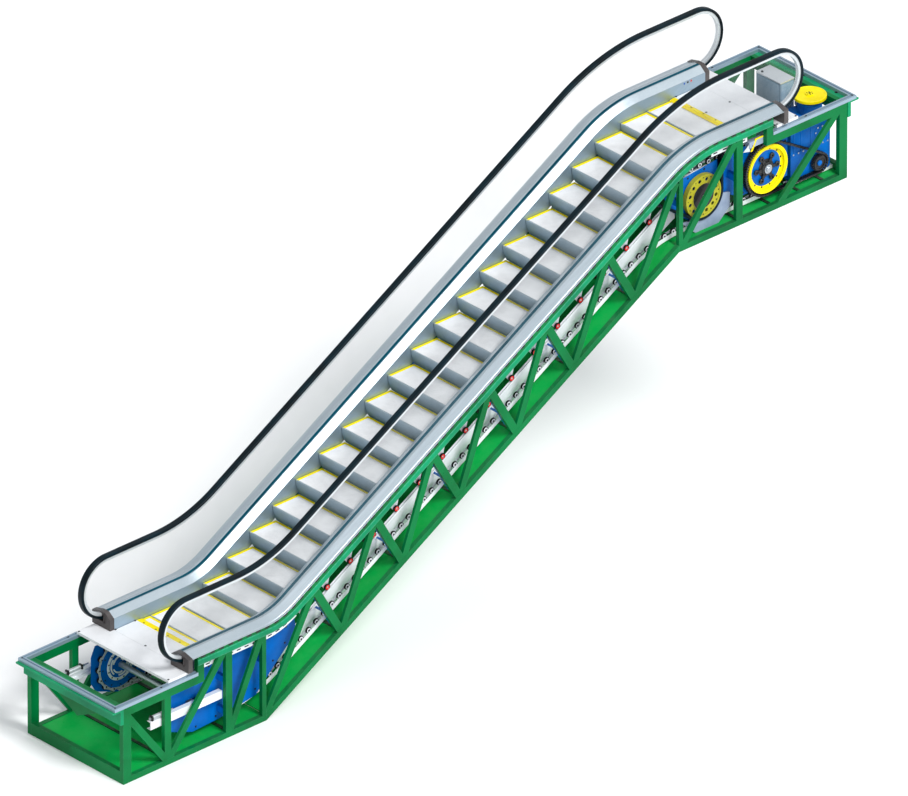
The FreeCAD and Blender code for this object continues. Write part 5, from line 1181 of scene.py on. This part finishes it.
def gearbox_pieces():
    """Joint flange, ribs, bearing covers and bolts on the gearbox; fins and a box on the motor."""
    x0, x1, face = X1 - 0.720, X1 - 0.110, -0.631
    low, high = BASE_HIGH + 0.122, BASE_HIGH + 0.80
    cover = (x1 - 0.16, high - 0.17)
    parts = [
        brick((x0 + 0.012, face - 0.006, low + 0.335), (x1 - 0.012, face + 0.002, low + 0.365), 0.002),
        lathe(counted(
            face, (0.036, -0.008), (0.066, -0.008), (0.070, -0.004), (0.070, 0.002), (0.036, 0.002)), 48, PINION),
        lathe(counted(
            face, (0.0, -0.006), (0.078, -0.006), (0.082, -0.003), (0.082, 0.002), (0.0, 0.002)), 48, cover)]
    parts += [brick((x - 0.005, face - 0.005, low + 0.366), (x + 0.005, face + 0.002, high - 0.034), 0.0015)
              for x in (x0 + 0.05, x0 + 0.16, x1 - 0.30, x1 - 0.05)]
    place("gearbox_ribs", together(parts), "machine_blue", "blue_steel")
    spots = [(x0 + 0.04 + i * 0.0754, face - 0.006, low + 0.35) for i in range(8)]
    fixings("gearbox_bolts", spots + ring_spots(cover, 0.066, 6, face - 0.006), 0.007, "blue_steel", "bolt_zinc")
    x, y = MOTOR
    fin = drum(0.1295, 0.143, 0.0, 0.004, 64, upright=(0.0, 0.0))
    fins = repeat_row("fins", fin, 8, (x, y, high + 0.012), (0.0, 0.0, 0.0138), "machine_blue")
    keep("motor_fins", [fins])
    box = brick((x - 0.06, y + 0.13, high + 0.02), (x + 0.05, y + 0.19, high + 0.10), 0.006)
    place("motor_terminal_box", box, "shoe_grey", "shoe_grey")
    floor_fixings("machine_bed_bolts", [(X1 - 0.74, side_y, BASE_HIGH + 0.122) for side_y in (-0.586, -0.275)],
                  0.012, "track_steel", finish="bolt_zinc")


def flywheel_pieces():
    base = BASE_HIGH + 0.9803
    nut = drum(0.0, 0.012, base + 0.0435, base + 0.050, 24, upright=MOTOR)
    place("flywheel_nut", nut, "bolt_dark", "black_iron", "flywheel")
    lip = lathe(counted(
        base, (0.176, 0.0298), (0.190, 0.0298), (0.188, 0.034), (0.178, 0.034)), 96, upright=MOTOR)
    place("flywheel_lip", lip, "wheel_yellow", "wheel_yellow", "flywheel")
    spots = [(x, y, base + 0.044) for x, _, y in ring_spots(MOTOR, 0.033, 6, 0.0)]
    floor_fixings("flywheel_bolts", spots, 0.005, "wheel_yellow", body="flywheel")


def brake_pieces():
    """The brake's yellow arm on its white lever plate, over the grey solenoid box."""
    x0, y, z0 = X1 - 1.460, -0.738, FLOOR_HIGH - 0.165

    def plate(y0, y1, *outline):
        return prism([(x0 + x, z0 + z) for x, z in outline], y + y0, y + y1, 0.002)

    arm = plate(-0.002, 0.010, (0.02, -0.05), (0.05, -0.05), (0.115, 0.076), (0.27, 0.076), (0.27, 0.094),
                (0.095, 0.094))
    lever = plate(0.004, 0.012, (-0.09, -0.02), (0.0, 0.05), (0.018, -0.045))
    place("brake_arm", arm, "wheel_yellow", "wheel_yellow")
    place("brake_lever_plate", lever, "guide_satin", "track_steel")
    fixings("brake_bolts", [(x0 + 0.05, y, z0 + 0.02), (x0 + 0.25, y, z0 + 0.02)], 0.007, "shoe_grey")


def cabinet_pieces():
    """Lid, doors, dark strips that paint the shade in the vent openings, and a lifting knob on the controller
    cabinet.
    """
    x0, x1, y0, y1 = X1 - 0.449, X1 - 0.239, -0.169, 0.231
    low, top = BASE_HIGH + 0.078, FLOOR_HIGH + 0.070
    lid = brick((x0 - 0.004, y0 - 0.004, top - 0.012), (x1 + 0.004, y1 + 0.004, top + 0.006), 0.003)
    place("cabinet_lid", lid, "guide_satin", "cabinet_grey")
    door = brick((x0 - 0.005, y0 + 0.02, low + 0.05), (x0 + 0.001, y1 - 0.02, top - 0.03), 0.002)
    panel = brick((x0 + 0.015, y0 - 0.005, low + 0.05), (x1 - 0.015, y0 + 0.001, top - 0.03), 0.002)
    place("cabinet_doors", together([door, panel]), "cabinet_grey", "cabinet_grey")
    # dark strips stand in for the shade inside the vent openings: painted shade
    vent = brick((x0 + 0.045, y0 - 0.0065, 0.0), (x1 - 0.045, y0 - 0.004, 0.005), 0.001, 1)
    vents = repeat_row("vents", vent, 7, (0.0, 0.0, low + 0.12), (0.0, 0.0, 0.014), "bolt_dark")
    keep("cabinet_vents", [vents])
    knob = lathe(counted(top, (0.0, 0.005), (0.014, 0.005), (0.014, 0.016), (0.010, 0.020), (0.0, 0.020)), 24,
                 upright=(x0 + 0.035, y1 - 0.06))
    place("cabinet_lifting_knob", knob, "bolt_dark", "black_iron")


def button_pieces():
    """A blue switch, a black switch and a red stop button with collars."""
    face = STEP_EDGE + 0.0047
    collars = []
    for index, finish in enumerate(("button_blue", "bolt_dark", "button_red")):
        centre = (X1 - 1.307 + 0.052 * index, FLOOR_HIGH + 0.118)
        form = lathe(counted(
            face, (0.0, -0.004), (0.010, -0.004), (0.013, -0.0025), (0.013, 0.0), (0.0, 0.0)), 32, centre)
        replaced = () if index else ("control_buttons",)
        place("button_%d" % (index + 1), form, finish, "button_red", replaces=replaced)
        collars.append(lathe(counted(
            face, (0.0132, -0.002), (0.017, -0.0015), (0.017, 0.0), (0.0132, 0.0)), 32, centre))
    place("button_collars", together(collars), "shaft_steel", "button_red")


# ---- lower landing machinery ----
def coil(start, radius, wire, turns, length, steps=20, sides=8):
    """A spring wound round a line along X."""
    form = bmesh.new()
    rings = []
    for i in range(turns * steps + 1):
        a = 2 * math.pi * i / steps
        x = start[0] + length * i / (turns * steps)
        ring = []
        for k in range(sides):
            b = 2 * math.pi * k / sides
            reach = radius + wire * math.cos(b)
            ring.append(form.verts.new(
                (x + wire * math.sin(b), start[1] + reach * math.cos(a), start[2] + reach * math.sin(a))))
        rings.append(ring)
    return tube(form, rings)


def tension_pieces():
    """Threaded rod, coil spring, two end blocks and nuts on each side."""
    z = TURN[1] + 0.08
    start = X0 + 0.483
    rods, blocks, springs = [], [], []
    for side in (-1, 1):
        y = side * 0.704
        for x, reach, radius, sides in (
                (start, 0.350, 0.009, 16), (start + 0.003, 0.010, 0.016, 6),
                (start + 0.262, 0.010, 0.016, 6), (start + 0.276, 0.010, 0.016, 6)):
            bar = quarter_turned(drum(0.0, radius, x, x + reach, sides, upright=(0.0, 0.0)), "Y")
            rods.append(shifted(bar, y=y, z=z))
        for x in (start + 0.020, start + 0.230):
            blocks.append(brick((x, y - 0.028, TURN[1] + 0.0503), (x + 0.020, y + 0.028, z + 0.028), 0.003))
        springs.append(coil((start + 0.046, y, z), 0.021, 0.005, 13, 0.178))
    place("tension_rods", together(rods), "shaft_steel", "track_steel", replaces=("tension_springs",))
    place("tension_blocks", together(blocks), "bolt_dark", "track_steel")
    place("tension_coils", together(springs), "guide_satin", "track_steel")


def turnaround_pieces():
    """White wear ring, bent bars and bolts on the inside of each turnaround guide."""
    def out(side, inward):
        return side * (0.556 - inward)

    forms = []
    ring = ((0.166, -0.003), (0.200, -0.003), (0.200, 0.006), (0.196, 0.008), (0.170, 0.008), (0.166, 0.006))
    for side in (-1, 1):
        forms.append(lathe([(radius, out(side, inward)) for radius, inward in ring], 96, TURN))
        for radius, starts in ((0.128, (20, 140, 260)), (0.096, (80, 200, 320))):
            for start in starts:
                bar = arc(TURN, radius + 0.018, start, start + 86, 20) + arc(TURN, radius, start + 86, start, 20)
                forms.append(prism(bar, *sorted((out(side, -0.0035), out(side, 0.007))), 0.001, 1))
    place("turnaround_rings", together(forms), "rail_zinc", "track_steel", smooth=40.0)
    for side, name in SIDES:
        bolts = ring_spots(TURN, 0.183, 12, out(side, 0.008), 15) + ring_spots(TURN, 0.262, 12, out(side, 0.0))
        fixings("turnaround_bolts_" + name, bolts, 0.007, "track_steel", facing=-side)


PANEL_LOW_BOLTS = (
    (0.86, 0.80), (1.10, 0.88), (1.45, 0.90), (1.75, 0.91), (2.05, 0.92), (2.40, 0.94), (2.62, 0.96), (1.25, 0.20),
    (1.55, 0.22), (1.90, 0.27), (2.15, 0.34), (2.42, 0.60), (2.60, 0.76))
PANEL_HIGH_BOLTS = (
    (2.50, 0.67), (2.30, 0.77), (2.05, 0.80), (1.80, 0.82), (1.55, 0.83), (1.30, 0.83), (0.95, 0.83), (0.80, 0.70),
    (0.80, 0.45), (0.85, 0.27), (1.15, 0.27), (1.45, 0.27), (2.10, 0.24), (2.40, 0.36))


def panel_pieces():
    """Bolt heads on the blue panels and the support angles."""
    outer = 0.6187 + 0.0003
    for side, name in SIDES:
        spots = [(X0 + x, side * (outer + 0.008), BASE_LOW + h) for x, h in PANEL_LOW_BOLTS]
        spots += [(X1 - x, side * (outer + 0.005), BASE_HIGH + h) for x, h in PANEL_HIGH_BOLTS]
        fixings("panel_bolts_" + name, spots, 0.009, "blue_steel", facing=side)
    ends = ((X0 - 0.06, 0.020), (X1 + 0.06, 0.020 + RISE))
    floor_fixings("support_bolts", [(x, y, z) for x, z in ends for y in (-0.55, 0.0, 0.55)], 0.014, "truss_green")


for build in (
        step_pieces, step_wheels, step_chain_pieces, handrail_pieces, comb_pieces, landing_screws, cap_pieces,
        truss_pieces, main_wheel_pieces, drive_chain_pieces, pinion_pieces, handrail_wheel_pieces, gearbox_pieces,
        flywheel_pieces, brake_pieces, cabinet_pieces, button_pieces, tension_pieces, turnaround_pieces,
        panel_pieces):
    build()


# ---- floor, light and camera ----
def studio():
    """A plain pale floor, a pale sky and two soft suns."""
    reach, z = 160.0, BASE_LOW - 0.002
    mesh = bpy.data.meshes.new("studio_floor")
    corners = [(-reach, -reach, z), (reach, -reach, z), (reach, reach, z), (-reach, reach, z)]
    mesh.from_pydata(corners, [], [(0, 1, 2, 3)])
    paint = Finish("studio_floor", Metallic=0.0, Specular_IOR_Level=0.2)
    cloud = paint.range(paint.noise(paint.place(), 0.35, 3.0), 0.3, 0.7)
    paint.feed("Base Color", paint.mix(cloud, tone(247, 247, 247), tone(251, 251, 251)))
    paint.feed("Roughness", paint.range(cloud, 0.0, 1.0, 0.8, 0.9))
    mesh.materials.append(paint.material)
    linked("studio_floor", mesh)

    world = bpy.data.worlds.new("studio")
    world.use_nodes = True
    sky = world.node_tree.nodes["Background"]
    sky.inputs["Color"].default_value = (0.93, 0.96, 1.0, 1.0)
    sky.inputs["Strength"].default_value = 0.62
    SCENE.world = world
    for name, power, spread, turn in (("key", 2.3, 18.0, (38, -8, 12)), ("fill", 1.15, 55.0, (72, 0, -22))):
        light = bpy.data.lights.new(name, "SUN")
        light.energy = power
        light.angle = math.radians(spread)
        linked(name, light).rotation_euler = [math.radians(angle) for angle in turn]
    SCENE.view_settings.view_transform = "Standard"


def camera():
    """A very long lens, because the machine is seen almost without perspective."""
    lens, sensor, width = 1400.0, 36.0, 10.19    # mm, mm, and metres across the view
    data = bpy.data.cameras.new("view")
    data.lens = lens
    data.sensor_width = sensor
    data.clip_start = 10.0
    data.clip_end = 3000.0
    eye = linked("view", data)
    azimuth, elevation = math.radians(-42.6), math.radians(29.1)
    level = math.cos(elevation)
    away = Vector((math.sin(azimuth) * level, -math.cos(azimuth) * level, math.sin(elevation)))
    eye.location = Vector((5.1026, -0.8, 2.106)) + away * (width * lens / sensor)
    eye.rotation_euler = (-away).to_track_quat("-Z", "Y").to_euler()
    SCENE.camera = eye


studio()
camera()
